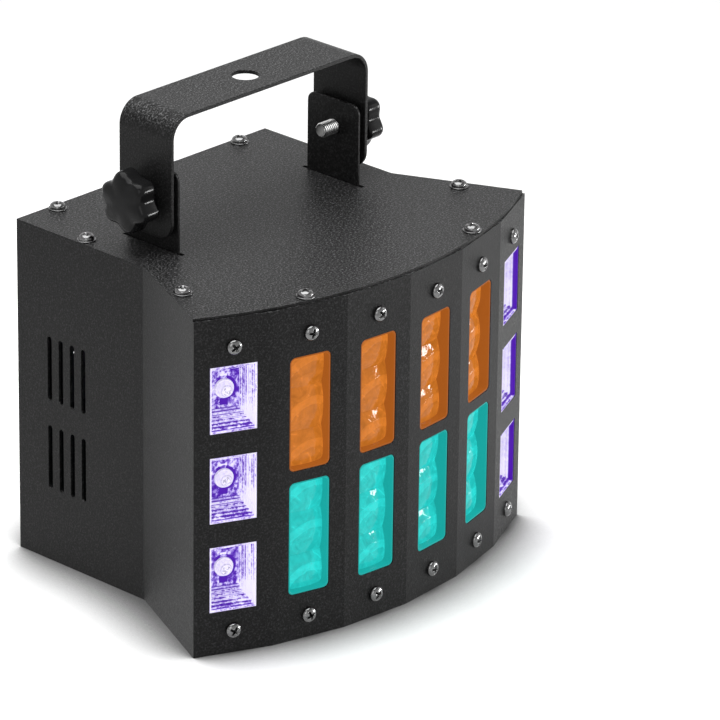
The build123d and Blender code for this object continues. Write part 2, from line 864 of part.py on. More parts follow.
def turret_place(z=0):
    """A frame on the turret's axis at a height."""
    return Pos(0, turret_y, z)


def carrier_faces():
    """Middle and turn of each face of the lamp carrier, about the turret's axis."""
    faces = []
    count = len(inner_facets)
    x, y = 0, -turret_reach
    for step in range(count // 2):
        angle = facet_turn * (2 * step + 1) / 2
        along_x, along_y = carrier_face_width * cosd(angle), carrier_face_width * sind(angle)
        faces.append((x + along_x / 2, y + along_y / 2, angle))
        x, y = x + along_x, y + along_y
    faces += [(-x, y, -angle) for x, y, angle in faces]
    return faces, (x, y)


def led_carrier():
    """A folded aluminium plate with a face toward each inner facet, on two webs with hubs."""
    faces, (end_x, end_y) = carrier_faces()
    first_x = carrier_face_width * cosd(facet_turn / 2)
    first_y = -turret_reach + carrier_face_width * sind(facet_turn / 2)
    right = [(0, -turret_reach), (first_x, first_y), (end_x, end_y)]
    front = [(-x, y) for x, y in reversed(right[1:])] + right
    back = [(x, y + carrier_sheet) for x, y in reversed(front)]
    height = carrier_high - carrier_low
    plate = extrude(Polygon(*(front + back), align=None), height, dir=(0, 0, 1))
    web_x = end_x * carrier_web_share
    web = Polygon((-web_x, -turret_reach + carrier_sheet), (web_x, -turret_reach + carrier_sheet),
                  (turret_hub_width / 2, 0), (-turret_hub_width / 2, 0), align=None)
    web_solid = extrude(web + Circle(turret_hub_width / 2), carrier_sheet, dir=(0, 0, 1))
    front_cut = Polygon(*(front + [(end_x, -2 * turret_reach), (-end_x, -2 * turret_reach)]), align=None)
    front_cut = extrude(front_cut, 2 * height, dir=(0, 0, 1))
    hub = extrude(Circle(turret_hub_width / 2), turret_hub_height)
    solid = plate + web_solid + hub
    solid = solid + Pos(0, 0, height - carrier_sheet) * web_solid
    solid = solid + Pos(0, 0, height - turret_hub_height) * hub
    solid = solid - Pos(0, 0, -height / 2) * front_cut
    solid = solid - bore(turret_shaft_width + 2 * seat_fit, -over, height + over)
    return turret_place(carrier_low) * solid


def face_place(x, y, angle, z):
    """A frame on a face of the carrier: z looks outward, y is up."""
    return Plane(origin=(x, turret_y + y, z), x_dir=(cosd(angle), sind(angle), 0),
                 z_dir=(sind(angle), -cosd(angle), 0)).location


def row_middle(row):
    """Height of a row of lamps: the lower row sits close over the drive, the upper one by its window."""
    lowest = carrier_low + led_board_height / 2 + slide_gap
    return max(window_centres[row], lowest)


def led_boards(row):
    """The four small boards of one row on the carrier's faces."""
    board = extrude(Rectangle(led_board_width, led_board_height), board_sheet)
    return [face_place(x, y, angle, row_middle(row)) * board for x, y, angle in carrier_faces()[0]]


def leds(row):
    """Three lamps on each board of a row."""
    foot = extrude(Rectangle(led_foot, led_foot), led_foot_height)
    dome = Pos(0, 0, led_foot_height) * Sphere(led_dome / 2)
    lamp = foot + (dome & extrude(Circle(led_dome), led_foot_height + led_dome))
    lamps = []
    for x, y, angle in carrier_faces()[0]:
        for step in range(leds_per_board):
            z = row_middle(row) + (step - (leds_per_board - 1) / 2) * led_pitch
            lamps.append(face_place(x, y, angle, z) * Pos(0, 0, board_sheet) * lamp)
    return lamps


def turret_frame():
    """The bracket on the base that holds the turret's two bushes and its motor."""
    column_y = turret_y + frame_back
    half = frame_width / 2
    shelf_side = motor_x + motor_width / 2 + shelf_side_margin
    column = block(-half, half, column_y, column_y + frame_sheet, sheet, top_arm_high)
    foot_end = power_y - power_depth / 2 - slide_gap
    foot = block(-half, half, column_y, foot_end, sheet, sheet + frame_sheet)
    shelf = block(-half, shelf_side, turret_y - shelf_front_reach, column_y + frame_sheet,
                  shelf_top - frame_sheet, shelf_top)
    arm = block(-half / 2, half / 2, turret_y - frame_top_reach, column_y + frame_sheet,
                top_arm_low, top_arm_high)
    frame = column + foot + shelf + arm
    frame = frame - turret_place() * bore(bush_width, shelf_top - frame_sheet - over, top_arm_high + over)
    nose_hole = bore(motor_nose_width, shelf_top - frame_sheet - over, shelf_top + over)
    return frame - turret_place() * Pos(motor_x, 0, 0) * nose_hole


def turret_bushes():
    """Two flanged bushes, in the shelf and in the upper arm."""
    length = frame_sheet + bush_flange_height
    bush = bore(bush_width, 0, frame_sheet) + bore(bush_flange_width, frame_sheet, length)
    bush = bush - bore(turret_shaft_width + 2 * running_fit, -over, length + over)
    lower = turret_place(shelf_top - frame_sheet) * bush
    upper = turret_place(top_arm_high) * Rot(180, 0, 0) * bush
    return [lower, upper]


def turret_shaft():
    """The upright shaft that the turret swings on."""
    return turret_place() * bore(turret_shaft_width, shelf_top - frame_sheet - shaft_overhang,
                                 top_arm_high + shaft_overhang)


# Swing drive
def involute(angle):
    """The involute function of a pressure angle in radians."""
    return math.tan(angle) - angle


def tooth_points(teeth, centre_angle):
    """One tooth's outline about the gear's centre, from its right root over its tip to its left root."""
    pitch_radius = gear_module * teeth / 2
    pressure = math.radians(pressure_angle)
    base_radius = pitch_radius * math.cos(pressure)
    tip_radius = pitch_radius + gear_module * addendum_share
    root_radius = pitch_radius - gear_module * dedendum_share
    half_tooth = math.pi / 2 / teeth - tooth_play / 2 / pitch_radius + involute(pressure)
    flank = []
    start = max(base_radius, root_radius)
    for step in range(flank_points):
        radius = start + (tip_radius - start) * step / (flank_points - 1)
        flank.append((radius, half_tooth - involute(math.acos(min(1, base_radius / radius)))))
    if root_radius < base_radius:
        flank.insert(0, (root_radius, half_tooth))
    turn = math.radians(centre_angle)
    right = [(radius, turn - offset) for radius, offset in flank]
    left = [(radius, turn + offset) for radius, offset in reversed(flank)]
    return [(radius * math.cos(angle), radius * math.sin(angle)) for radius, angle in right + left]


gear_centres = gear_module * (sector_teeth + pinion_teeth) / 2
motor_x = gear_centres


def sector_gear():
    """The toothed sector on the turret's shaft, with its middle tooth toward the pinion."""
    points = [(0, 0)]
    half = (sector_teeth_cut - 1) / 2
    for step in range(sector_teeth_cut):
        points += tooth_points(sector_teeth, (step - half) * 360 / sector_teeth)
    face = Polygon(*points, align=None) + Circle(sector_hub_width / 2)
    gear = extrude(face, gear_height, dir=(0, 0, 1))
    gear = gear - bore(turret_shaft_width + 2 * seat_fit, -over, gear_height + over)
    return turret_place(gear_low) * gear


def motor_pinion():
    """The motor's pinion and shaft, with a gap between two teeth toward the sector."""
    points = []
    for step in range(pinion_teeth):
        points += tooth_points(pinion_teeth, 180 + (2 * step + 1) * 180 / pinion_teeth)
    height = gear_height + 2 * pinion_extra
    pinion = extrude(Polygon(*points, align=None), height, dir=(0, 0, 1))
    shaft = bore(motor_shaft_width, gear_low - pinion_extra - motor_shaft_depth, gear_low)
    return turret_place() * Pos(motor_x, 0, 0) * (Pos(0, 0, gear_low - pinion_extra) * pinion + shaft)


def swing_motor():
    """The stepping motor under the shelf, with two mounting ears."""
    top = shelf_top - frame_sheet
    can = bore(motor_width, top - motor_height, top)
    ear_reach = motor_width / 2 + motor_ear_width / 2
    ears = block(-motor_ear_width / 2, motor_ear_width / 2, -ear_reach, ear_reach, top - motor_ear_sheet, top)
    nose = bore(motor_nose_width - 2 * slide_gap, top, top + frame_sheet - slide_gap)
    hole = bore(motor_shaft_width + 2 * running_fit, gear_low - pinion_extra - motor_shaft_depth - over,
                shelf_top + over)
    return turret_place() * Pos(motor_x, 0, 0) * (can + ears + nose - hole)


# Cooling fan
def fan_frame():
    """The fan's square housing, with its round bore, spokes and rotor pin."""
    housing = rounded_plate(fan_size, fan_size, fan_corner, -fan_depth, 0)
    housing = housing - bore(fan_bore, -fan_depth - over, over)
    plate = bore(fan_hub_width, -fan_depth, -fan_depth + fan_hub_plate)
    spoke = block(0, fan_bore / 2 + over / 2, -fan_spoke_width / 2, fan_spoke_width / 2,
                  -fan_depth, -fan_depth + fan_hub_plate)
    for step in range(fan_spokes):
        plate = plate + Rot(0, 0, fan_spoke_turn + step * 360 / fan_spokes) * spoke
    pin = bore(fan_pin_width, -fan_depth, -fan_depth + fan_hub_plate + fan_pin_length)
    housing = housing + plate + pin
    reach = fan_hole_pitch / 2
    hole = bore(m3_width + 2 * running_fit, -fan_depth - over, over)
    for i in (-1, 1):
        for j in (-1, 1):
            housing = housing - Pos(i * reach, j * reach, 0) * hole
    return rear_place(fan_x, fan_z) * Pos(0, 0, -sheet) * housing


def fan_rotor():
    """The rotor: a cup-shaped hub with tilted blades, on the housing's pin."""
    low = -fan_depth + fan_hub_plate + slide_gap
    high = -slide_gap - fan_blade_sheet
    hub = bore(fan_hub_width, low, high)
    middle = (low + high) / 2
    tip = fan_bore / 2 - fan_tip_gap
    blade = Rot(fan_blade_tilt, 0, 0) * Box(tip, fan_blade_chord, fan_blade_sheet)
    blade = Pos(tip / 2, 0, middle) * blade
    ring = bore(2 * tip, low, high)
    rotor = hub
    for step in range(fan_blades):
        rotor = rotor + (Rot(0, 0, step * 360 / fan_blades) * blade & ring)
    pin_end = -fan_depth + fan_hub_plate + fan_pin_length
    rotor = rotor - bore(fan_pin_width + 2 * running_fit, low - over, pin_end + slide_gap)
    return rear_place(fan_x, fan_z) * Pos(0, 0, -sheet) * rotor


# Control board, display and buttons
control_face = -sheet - post_length


def control_posts():
    """Four posts between the rear panel and the control board."""
    half_w, half_h = control_width / 2 - post_inset, control_height / 2 - post_inset
    return [rear_place(panel_x + i * half_w, panel_z + j * half_h) * bore(post_width, control_face, -sheet)
            for i in (-1, 1) for j in (-1, 1)]


def control_board():
    """The board behind the rear panel, with a switch behind each button and the sound pick-up."""
    place = rear_place(panel_x, panel_z)
    board = extrude(Rectangle(control_width, control_height), board_sheet)
    board = place * Pos(0, 0, control_face - board_sheet) * board
    for button in button_places():
        switch = Pos(0, 0, control_face) * extrude(Rectangle(switch_size, switch_size), switch_height)
        board = board + button * switch
    can = bore(sound_can_width, control_face, -sheet - slide_gap)
    return board + rear_place(panel_x - eye_offset, panel_z + display_rise) * can


def digit_display():
    """The display block, in its window in the rear panel."""
    face = extrude(Rectangle(display_width, display_height), post_length + sheet - display_set_back)
    return rear_place(panel_x, panel_z + display_rise) * Pos(0, 0, control_face) * face


def remote_eye():
    """The receiver's round eye, from the control board through the rear panel."""
    stem = bore(eye_width, control_face, eye_stand)
    stem = fillet(stem.edges().group_by(Axis.Z)[-1], eye_stand)
    return rear_place(panel_x + eye_offset, panel_z + display_rise) * stem


def push_button(place):
    """A button cap with an inner flange and a stem toward its switch."""
    flange_top = -sheet - slide_gap
    cap = bore(button_width, flange_top, button_stand)
    cap = fillet(cap.edges().group_by(Axis.Z)[-1], button_round)
    flange = bore(button_flange_width, flange_top - button_flange_height, flange_top)
    stem = bore(button_stem_width, control_face + switch_height + button_travel + slide_gap, flange_top)
    return place * (cap + flange + stem)


# Mains inlet
def socket_face():
    """The socket's outline: a rectangle with two cut lower corners."""
    w, h = socket_width / 2, socket_height / 2
    return Polygon((-w, h), (-w, -h + socket_chamfer), (-w + socket_chamfer, -h), (w - socket_chamfer, -h),
                   (w, -h + socket_chamfer), (w, h), align=None)


def mains_inlet():
    """The inlet's body and flange, its socket with three prongs, and a pocket for the fuse drawer."""
    top = inlet_flange_sheet
    body = Pos(0, 0, -inlet_depth) * extrude(Rectangle(inlet_width, inlet_height), inlet_depth + top)
    flange = rounded_plate(inlet_flange_width, inlet_flange_height, inlet_flange_corner, 0, top)
    floor = top - socket_depth
    inlet = body + flange - Pos(0, socket_rise, floor) * extrude(socket_face(), socket_depth + over)
    for x, y in ((-prong_pitch, -prong_offset), (0, prong_offset), (prong_pitch, -prong_offset)):
        prong = extrude(Rectangle(prong_width, prong_height), prong_length + over)
        inlet = inlet + Pos(x, socket_rise + y, floor - over) * prong
    pocket = Rectangle(drawer_width + 2 * slide_gap, drawer_height + 2 * slide_gap)
    pocket = extrude(pocket, drawer_depth + over)
    inlet = inlet - Pos(0, -drawer_drop, top - drawer_depth - slide_gap) * pocket
    hole = bore(rear_screw_hole, -over, top + over)
    for side in (-1, 1):
        inlet = inlet - Pos(side * inlet_screw_pitch / 2, 0, 0) * hole
    return rear_place(inlet_x, inlet_z) * inlet


def fuse_drawer():
    """The fuse drawer, with a lip to pull it out by."""
    low = inlet_flange_sheet - drawer_depth
    drawer = Pos(0, 0, low) * extrude(Rectangle(drawer_width, drawer_height), drawer_depth + drawer_lip)
    notch_half = drawer_width * drawer_notch_share / 2
    notch = block(-notch_half, notch_half, drawer_height / 2 - drawer_notch, drawer_height / 2 + over,
                  inlet_flange_sheet, inlet_flange_sheet + drawer_lip + over)
    return rear_place(inlet_x, inlet_z) * Pos(0, -drawer_drop, 0) * (drawer - notch)


# Power board and safety eye
def power_place():
    return Pos(power_x, power_y, sheet)


def power_posts():
    """Four posts between the base and the power board."""
    half_w, half_d = power_width / 2 - post_inset, power_depth / 2 - post_inset
    return [power_place() * Pos(i * half_w, j * half_d, 0) * bore(post_width, 0, power_post)
            for i in (-1, 1) for j in (-1, 1)]


def power_board():
    """The power board with its coil, two capacitors and a cooling plate soldered on."""
    top = power_post + board_sheet
    board = Pos(0, 0, power_post) * extrude(Rectangle(power_width, power_depth), board_sheet)
    part_x = power_width * power_part_share
    coil = Pos(-part_x, 0, top) * extrude(Rectangle(coil_size, coil_size), coil_height)
    board = board + coil
    can = extrude(Circle(capacitor_width / 2), capacitor_height)
    for side in (-1, 1):
        board = board + Pos(part_x, side * capacitor_width, top) * can
    cooler = extrude(Rectangle(sink_sheet, sink_width), sink_height)
    cooler = Pos(0, power_depth * power_part_share, top) * cooler
    return power_place() * (board + cooler)


def safety_eye():
    """A bent plate on the rear panel with a round hole for a safety wire's hook."""
    low = body_height - safety_drop
    half = safety_width / 2
    plate = block(-half, half, rear_y, rear_y + safety_sheet, low, low + safety_height)
    tab = block(-half, half, rear_y, rear_y + safety_reach, low, low + safety_sheet)
    hole = bore(safety_hole_width, low - over, low + safety_sheet + over)
    eye = plate + tab - Pos(0, rear_y + safety_hole_reach, 0) * hole
    for place in safety_screw_places():
        eye = eye - place * bore(rear_screw_hole, -safety_sheet - over, over)
    return eye


# Screws as groups
def lid_screws():
    return [Pos(x, y, body_height + washer_height) * m4_screw() for x, y in lid_screw_places()]


def lid_washers():
    ring = extrude(Circle(washer_width / 2) - Circle(lid_screw_hole / 2), washer_height)
    return [Pos(x, y, body_height) * ring for x, y in lid_screw_places()]


def front_screws():
    return [place * m4_screw() for place in front_screw_places()]


def rear_screws():
    places = wall_screw_places() + fan_screw_places() + inlet_screw_places() + safety_screw_places()
    return [place * m3_screw() for place in places]


# All nodes
right_wall = side_wall()
right_ear = ear()
right_washer = friction_washer()
right_stud = stud()
right_knob = star_knob()
strip = lens_strip()
holder = lens_holder()
reflector = uv_reflector()

nodes = {
    "base_plate": base_plate(),
    "left_side_wall": mirrored(right_wall),
    "right_side_wall": right_wall,
    "front_panel": front_panel(),
    "rear_panel": rear_panel(),
    "lid": lid(),
    "left_ear": mirrored(right_ear),
    "right_ear": right_ear,
    "yoke": yoke(),
    "left_friction_washer": mirrored(right_washer),
    "right_friction_washer": right_washer,
    "left_stud": mirrored(right_stud),
    "right_stud": right_stud,
    "left_knob": mirrored(right_knob),
    "right_knob": right_knob,
    "lid_screws": lid_screws(),
    "lid_washers": lid_washers(),
    "front_screws": front_screws(),
    "rear_screws": rear_screws(),
    "lens_holders": [facet_place(index) * holder for index in inner_facets],
    "turret_frame": turret_frame(),
    "turret_bushes": turret_bushes(),
    "turret_shaft": turret_shaft(),
    "led_carrier": led_carrier(),
    "turquoise_led_boards": led_boards(0),
    "amber_led_boards": led_boards(1),
    "turquoise_leds": leds(0),
    "amber_leds": leds(1),
    "sector_gear": sector_gear(),
    "swing_motor": swing_motor(),
    "motor_pinion": motor_pinion(),
    "fan_frame": fan_frame(),
    "fan_rotor": fan_rotor(),
    "control_board": control_board(),
    "board_posts": control_posts() + power_posts(),
    "digit_display": digit_display(),
    "remote_eye": remote_eye(),
    "mains_inlet": mains_inlet(),
    "fuse_drawer": fuse_drawer(),
    "power_board": power_board(),
    "safety_eye": safety_eye(),
}
for number, index in enumerate(inner_facets, 1):
    nodes[f"turquoise_lens_{number}"] = facet_place(index) * Pos(0, window_centres[0], 0) * strip
    nodes[f"amber_lens_{number}"] = facet_place(index) * Pos(0, window_centres[1], 0) * strip
for side, index in zip(("left", "right"), outer_facets):
    nodes[f"{side}_uv_reflector"] = facet_place(index) * reflector
    nodes[f"{side}_uv_board"] = facet_place(index) * uv_board()
    nodes[f"{side}_uv_lamps"] = [facet_place(index) * lamp for lamp in uv_lamps()]
for number, place in enumerate(button_places(), 1):
    nodes[f"menu_button_{number}"] = push_button(place)

os.makedirs("parts", exist_ok=True)
for name, shape in nodes.items():
    if isinstance(shape, list):
        shape = Compound(children=shape)
    export_step(shape, f"parts/{name}.step")
print(len(nodes), "nodes; casing", round(2 * corners[facet_count // 2][0], 2), "wide,",
      round(rear_y - front_y, 2), "deep,", round(body_height, 2), "high")
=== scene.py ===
import json
import math

import bmesh
import bpy
from mathutils import Matrix, Vector


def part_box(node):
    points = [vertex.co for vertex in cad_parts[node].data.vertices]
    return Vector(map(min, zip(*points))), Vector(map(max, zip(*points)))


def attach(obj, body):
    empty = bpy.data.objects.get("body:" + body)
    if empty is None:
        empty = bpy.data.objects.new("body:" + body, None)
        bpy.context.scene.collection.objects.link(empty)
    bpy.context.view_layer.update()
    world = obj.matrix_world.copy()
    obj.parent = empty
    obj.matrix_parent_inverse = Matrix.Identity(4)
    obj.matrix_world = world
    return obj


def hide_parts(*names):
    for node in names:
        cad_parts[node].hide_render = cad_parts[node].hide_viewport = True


bl_info = {
    "name": "Facet effect light",
    "version": (1, 0, 0),
    "blender": (4, 5, 0),
    "location": "View3D > Sidebar > Effect Light",
    "description": "Finishes and fine pieces of a stage effect light with a facetted front",
    "category": "Object",
}

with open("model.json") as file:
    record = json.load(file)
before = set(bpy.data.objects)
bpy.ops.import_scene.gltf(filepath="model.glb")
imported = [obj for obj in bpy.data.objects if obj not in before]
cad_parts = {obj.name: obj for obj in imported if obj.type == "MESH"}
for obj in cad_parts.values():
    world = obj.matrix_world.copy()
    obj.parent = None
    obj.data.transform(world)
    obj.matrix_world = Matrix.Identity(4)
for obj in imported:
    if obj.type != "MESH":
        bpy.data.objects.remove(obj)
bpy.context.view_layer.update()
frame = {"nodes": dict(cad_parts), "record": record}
nodes = frame["nodes"]
front_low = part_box("front_panel")[0]

MM = 0.001


# Node trees written as expressions
class Socket:
    """One output of a node, worked with as a number: each sum or product adds its own Math node."""

    def __init__(self, nodes, socket):
        self.nodes = nodes
        self.socket = socket

    def maths(self, operation, *values):
        return self.nodes.add("ShaderNodeMath", {"operation": operation}, dict(enumerate(values)))

    def __add__(self, other):
        return self.maths("ADD", self, other)

    def __radd__(self, other):
        return self.maths("ADD", other, self)

    def __sub__(self, other):
        return self.maths("SUBTRACT", self, other)

    def __rsub__(self, other):
        return self.maths("SUBTRACT", other, self)

    def __mul__(self, other):
        return self.maths("MULTIPLY", self, other)

    def __truediv__(self, other):
        return self.maths("DIVIDE", self, other)

    def __abs__(self):
        return self.maths("ABSOLUTE", self)

    def sine(self):
        return self.maths("SINE", self)

    def root(self):
        return self.maths("SQRT", self)

    def fraction(self):
        return self.maths("FRACT", self)

    def at_most(self, other):
        return self.maths("MINIMUM", self, other)

    def at_least(self, other):
        return self.maths("MAXIMUM", self, other)

    def ramp(self, low, high):
        """0 below one value, 1 above another, and smooth between them."""
        settings = {"interpolation_type": "SMOOTHSTEP"}
        return self.nodes.add("ShaderNodeMapRange", settings, {0: self, 1: low, 2: high, 3: 0.0, 4: 1.0})


class Nodes:
    """A node tree that is filled by calls."""

    def __init__(self, tree):
        self.tree = tree
        self.tree.nodes.clear()

    def add(self, kind, settings=None, inputs=None, output=0):
        """Adds a node: its settings come first, then the values or links of its sockets."""
        node = self.tree.nodes.new(kind)
        for key, value in (settings or {}).items():
            setattr(node, key, value)
        for key, value in (inputs or {}).items():
            if isinstance(value, Socket):
                self.tree.links.new(value.socket, node.inputs[key])
            else:
                node.inputs[key].default_value = value
        return Socket(self, node.outputs[output]) if len(node.outputs) else node

    def several(self, kind, outputs, inputs=None):
        """Adds a node and gives back several of its outputs."""
        node = self.add(kind, None, inputs).socket.node
        return [Socket(self, node.outputs[output]) for output in outputs]


BLACK, WHITE = (0.0, 0.0, 0.0, 1.0), (1.0, 1.0, 1.0, 1.0)


def opaque(colour):
    """A colour with full alpha; a socket stays as it is."""
    return colour if isinstance(colour, Socket) else tuple(colour)[:3] + (1.0,)


def scaled(colour, factor):
    """A colour made paler or darker, and no brighter than white."""
    return [min(1.0, c * factor) for c in colour]


def reach_of(x, y):
    """The distance of a place from the middle of its pattern."""
    return (x * x + y * y).root()


class Finish(Nodes):
    """The nodes of one material. Patterns lie on the object's own coordinates, in metres."""

    def __init__(self, name):
        self.material = bpy.data.materials.new(name)
        self.material.use_nodes = True
        super().__init__(self.material.node_tree)

    def place(self):
        return self.add("ShaderNodeTexCoord", output="Object")

    def named(self, attribute, output="Fac"):
        return self.add("ShaderNodeAttribute", {"attribute_name": attribute}, output=output)

    def parts(self, vector):
        """The three numbers of a vector."""
        return self.several("ShaderNodeSeparateXYZ", "XYZ", {0: vector})

    def noise(self, place, size, detail=2.0, roughness=0.5, distortion=0.0):
        """Noise with a grain of the given size in the units of its place."""
        return self.add("ShaderNodeTexNoise", None, {
            "Vector": place, "Scale": 1.0 / size, "Detail": detail, "Roughness": roughness,
            "Distortion": distortion})

    def stretched(self, place, scale):
        return self.add("ShaderNodeMapping", None, {"Vector": place, "Scale": scale})

    def mix(self, share, first, second):
        """A colour between two."""
        values = {0: share, 6: opaque(first), 7: opaque(second)}
        return self.add("ShaderNodeMix", {"data_type": "RGBA"}, values, output=2)

    def colours(self, share, stops):
        """The colour at a place along a run of colours."""
        made = self.add("ShaderNodeValToRGB", None, {0: share})
        elements = made.socket.node.color_ramp.elements
        while len(elements) < len(stops):
            elements.new(1.0)
        for element, (place, colour) in zip(elements, stops):
            element.position = place
            element.color = opaque(colour)
        return made

    def bump(self, height, distance, strength=1.0):
        values = {"Height": height, "Distance": distance, "Strength": strength}
        return self.add("ShaderNodeBump", None, values)

    def shine(self, **inputs):
        """Ends the material in one Principled shader."""
        words = {key.replace("_", " "): opaque(value) if "Color" in key else value
                 for key, value in inputs.items()}
        shader = self.add("ShaderNodeBsdfPrincipled", None, words)
        self.add("ShaderNodeOutputMaterial", None, {"Surface": shader})
        return self.material

    def glowing(self, colour, dimmed, strength, **inputs):
        """Ends the material in a shader that gives off its own colour from a dimmed surface."""
        return self.shine(Base_Color=self.mix(dimmed, colour, BLACK), Emission_Color=colour,
                          Emission_Strength=strength, **inputs)


# Sizes and colours that a user would change
def length(name, description, default):
    return bpy.props.FloatProperty(name=name, description=description, default=default, min=0.0,
                                   subtype="DISTANCE", unit="LENGTH", precision=5)


def colour(name, description, default):
    return bpy.props.FloatVectorProperty(name=name, description=description, default=default, size=3,
                                         min=0.0, max=1.0, subtype="COLOR")


def angle(name, description, degrees):
    return bpy.props.FloatProperty(name=name, description=description, default=math.radians(degrees),
                                   subtype="ANGLE", unit="ROTATION")


def share(name, description, default):
    return bpy.props.FloatProperty(name=name, description=description, default=default, min=0.0, max=1.0,
                                   subtype="FACTOR")


class CasingSizes(bpy.types.PropertyGroup):
    """The facetted front that the windows and the front screws stand on."""

    facet_count: bpy.props.IntProperty(name="Facets", description="Facets across the front", default=6, min=2)
    facet_width: length("Facet width", "Width of one facet", 41.4 * MM)
    facet_turn: angle("Facet turn", "Turn from one facet to the next", 10.0)
    edge_round: length("Edge round", "Softness of the coated sheet's edges", 0.28 * MM)


class CoatLooks(bpy.types.PropertyGroup):
    """The textured black coat of the sheet metal."""

    dark: colour("Dark", "Colour in the hollows of the coat", (0.003, 0.003, 0.003))
    light: colour("Light", "Colour on the grains of the coat", (0.12, 0.12, 0.122))
    grain: length("Grain", "Size of the coat's grain", 1.0 * MM)
    roughness: share("Roughness", "Dullness of the coat", 0.42)


class LensSizes(bpy.types.PropertyGroup):
    """The moulded lens strips behind the inner facets."""

    mouth_width: length("Mouth width", "Width inside a strip's collar", 21.3 * MM)
    mouth_height: length("Mouth height", "Height inside a strip's collar", 58.6 * MM)
    mouth_corner: length("Mouth corner", "Round of the mouth's corners", 2.05 * MM)
    low_centre: length("Low centre", "Height of the lower windows' middle", 54.85 * MM)
    high_centre: length("High centre", "Height of the upper windows' middle", 121.35 * MM)
    collar: length("Collar", "Thickness of the collar that lines a window", 0.8 * MM)
    set_back: length("Set-back", "Depth of the collar's rim behind the panel's face", 0.2 * MM)
    sheet: length("Sheet", "Thickness of the panel in front", 1.5 * MM)
    flange: length("Flange", "Thickness of the flange behind the panel", 1.6 * MM)
    lap: length("Lap", "Width of the flange round the collar", 2.75 * MM)
    wall: length("Wall", "Thickness of the pan's wall", 1.2 * MM)
    back: length("Back", "Depth of the pan's back", 9.4 * MM)
    crown_depth: length("Crown depth", "Depth of a cell's top behind the panel's face", 3.6 * MM)
    cell_height: length("Cell height", "Height of one cell", 22.8 * MM)
    radius: length("Cell radius", "Radius of a cell's bulge", 34.0 * MM)
    step: length("Mesh step", "Size of the strip's mesh", 0.36 * MM)
    gloss: share("Gloss", "Strength of a strip's mirror reflections", 0.13)
    amber: colour("Amber", "Colour of the upper strips", (0.578, 0.171, 0.017))
    # The two wall colours are painted shade: the pans' walls are painted darker than the cells.
    amber_wall_shade: colour("Amber wall", "Colour of the upper strips' walls", (0.376, 0.102, 0.013))
    turquoise: colour("Turquoise", "Colour of the lower strips", (0.017, 0.578, 0.546))
    turquoise_wall_shade: colour("Turquoise wall", "Colour of the lower strips' walls", (0.011, 0.376, 0.352))


class VioletLooks(bpy.types.PropertyGroup):
    """The stepped reflectors and lamps of the outer facets, and the colours of the violet light painted on
    them: deep in the painted shade, pale in the painted highlights.
    """

    deep: colour("Deep", "Violet of the rims and hollows", (0.075, 0.008, 0.38))
    middle: colour("Middle", "Violet of the steps", (0.27, 0.15, 0.74))
    pale: colour("Pale", "Lavender of the bright steps", (0.86, 0.82, 0.98))
    glow: share("Glow", "Light that the lit plastic gives off", 0.68)


class ScrewSizes(bpy.types.PropertyGroup):
    """The cross-head screws and their washers."""

    m4_width: length("Wide head", "Width of the lid's and front's screw heads", 8.0 * MM)
    m4_height: length("High head", "Height of the lid's and front's screw heads", 2.9 * MM)
    m3_width: length("Small head", "Width of the rear's screw heads", 6.0 * MM)
    m3_height: length("Small height", "Height of the rear's screw heads", 2.2 * MM)
    washer_width: length("Washer width", "Width of a lid washer", 9.6 * MM)
    washer_hole: length("Washer hole", "Width of a washer's hole", 4.6 * MM)
    washer_height: length("Washer height", "Thickness of a washer", 0.8 * MM)
    seed: bpy.props.IntProperty(name="Seed", description="Seed of the turns the screws stopped at", default=7)


class KnobSizes(bpy.types.PropertyGroup):
    """The star knobs and their threaded studs."""

    width: length("Width", "Width over the lobes", 32.0 * MM)
    lobes: bpy.props.IntProperty(name="Lobes", description="Lobes round the knob", default=6, min=3)
    phase: angle("Phase", "Turn of the first lobe", 42.0)
    valley: length("Valley", "Depth of the valleys between the lobes", 2.9 * MM)
    hub_width: length("Hub width", "Width of the round hub", 17.0 * MM)
    hub_height: length("Hub height", "Height of the hub under the head", 5.0 * MM)
    height: length("Height", "Height of the knob", 17.0 * MM)
    stud_width: length("Stud width", "Width of the stud over its thread", 8.0 * MM)
    pitch: length("Pitch", "Pitch of the stud's thread", 1.25 * MM)
    thread_depth: length("Thread depth", "Depth of the stud's thread", 0.72 * MM)


class StudioSizes(bpy.types.PropertyGroup):
    """The camera and the floor."""

    aim: bpy.props.FloatVectorProperty(name="Aim", description="Point in the middle of the picture", size=3,
                                       default=(-0.016813, -0.075022, 0.132422), subtype="TRANSLATION")
    azimuth: angle("Azimuth", "Turn of the camera round the light", -47.011)
    elevation: angle("Elevation", "Height of the camera above the horizon", 23.277)
    roll: angle("Roll", "Turn of the camera round its own axis", 0.742)
    distance: length("Distance", "Distance from the camera to its aim", 2.899)
    focal: bpy.props.FloatProperty(name="Focal length", description="Lens of the camera in millimetres",
                                   default=295.03, min=1.0)
    floor_colour: colour("Floor", "Colour of the floor", (0.93, 0.93, 0.93))


def sizes(name):
    return getattr(bpy.context.scene, "effect_light_" + name)


# Places on the casing
def facet_matrix(index):
    """A facet's own frame: x across it, y up from the base, z outward from its face."""
    casing = sizes("casing")
    apothem = casing.facet_width / 2 / math.tan(casing.facet_turn / 2)
    middle_y = front_low.y + casing.facet_width / 2 / math.sin(casing.facet_turn / 2)
    turn = casing.facet_turn * (index - (casing.facet_count - 1) / 2)
    across = Vector((math.cos(turn), math.sin(turn), 0.0))
    outward = Vector((math.sin(turn), -math.cos(turn), 0.0))
    turned = Matrix((across, (0.0, 0.0, 1.0), outward)).transposed().to_4x4()
    return Matrix.Translation(Vector((0.0, middle_y, 0.0)) + apothem * outward) @ turned


def facet_outward(index):
    return facet_matrix(index).to_3x3() @ Vector((0, 0, 1))


def violet_sides():
    """The sides with violet lamps, and their facets."""
    return ("left", 0), ("right", sizes("casing").facet_count - 1)


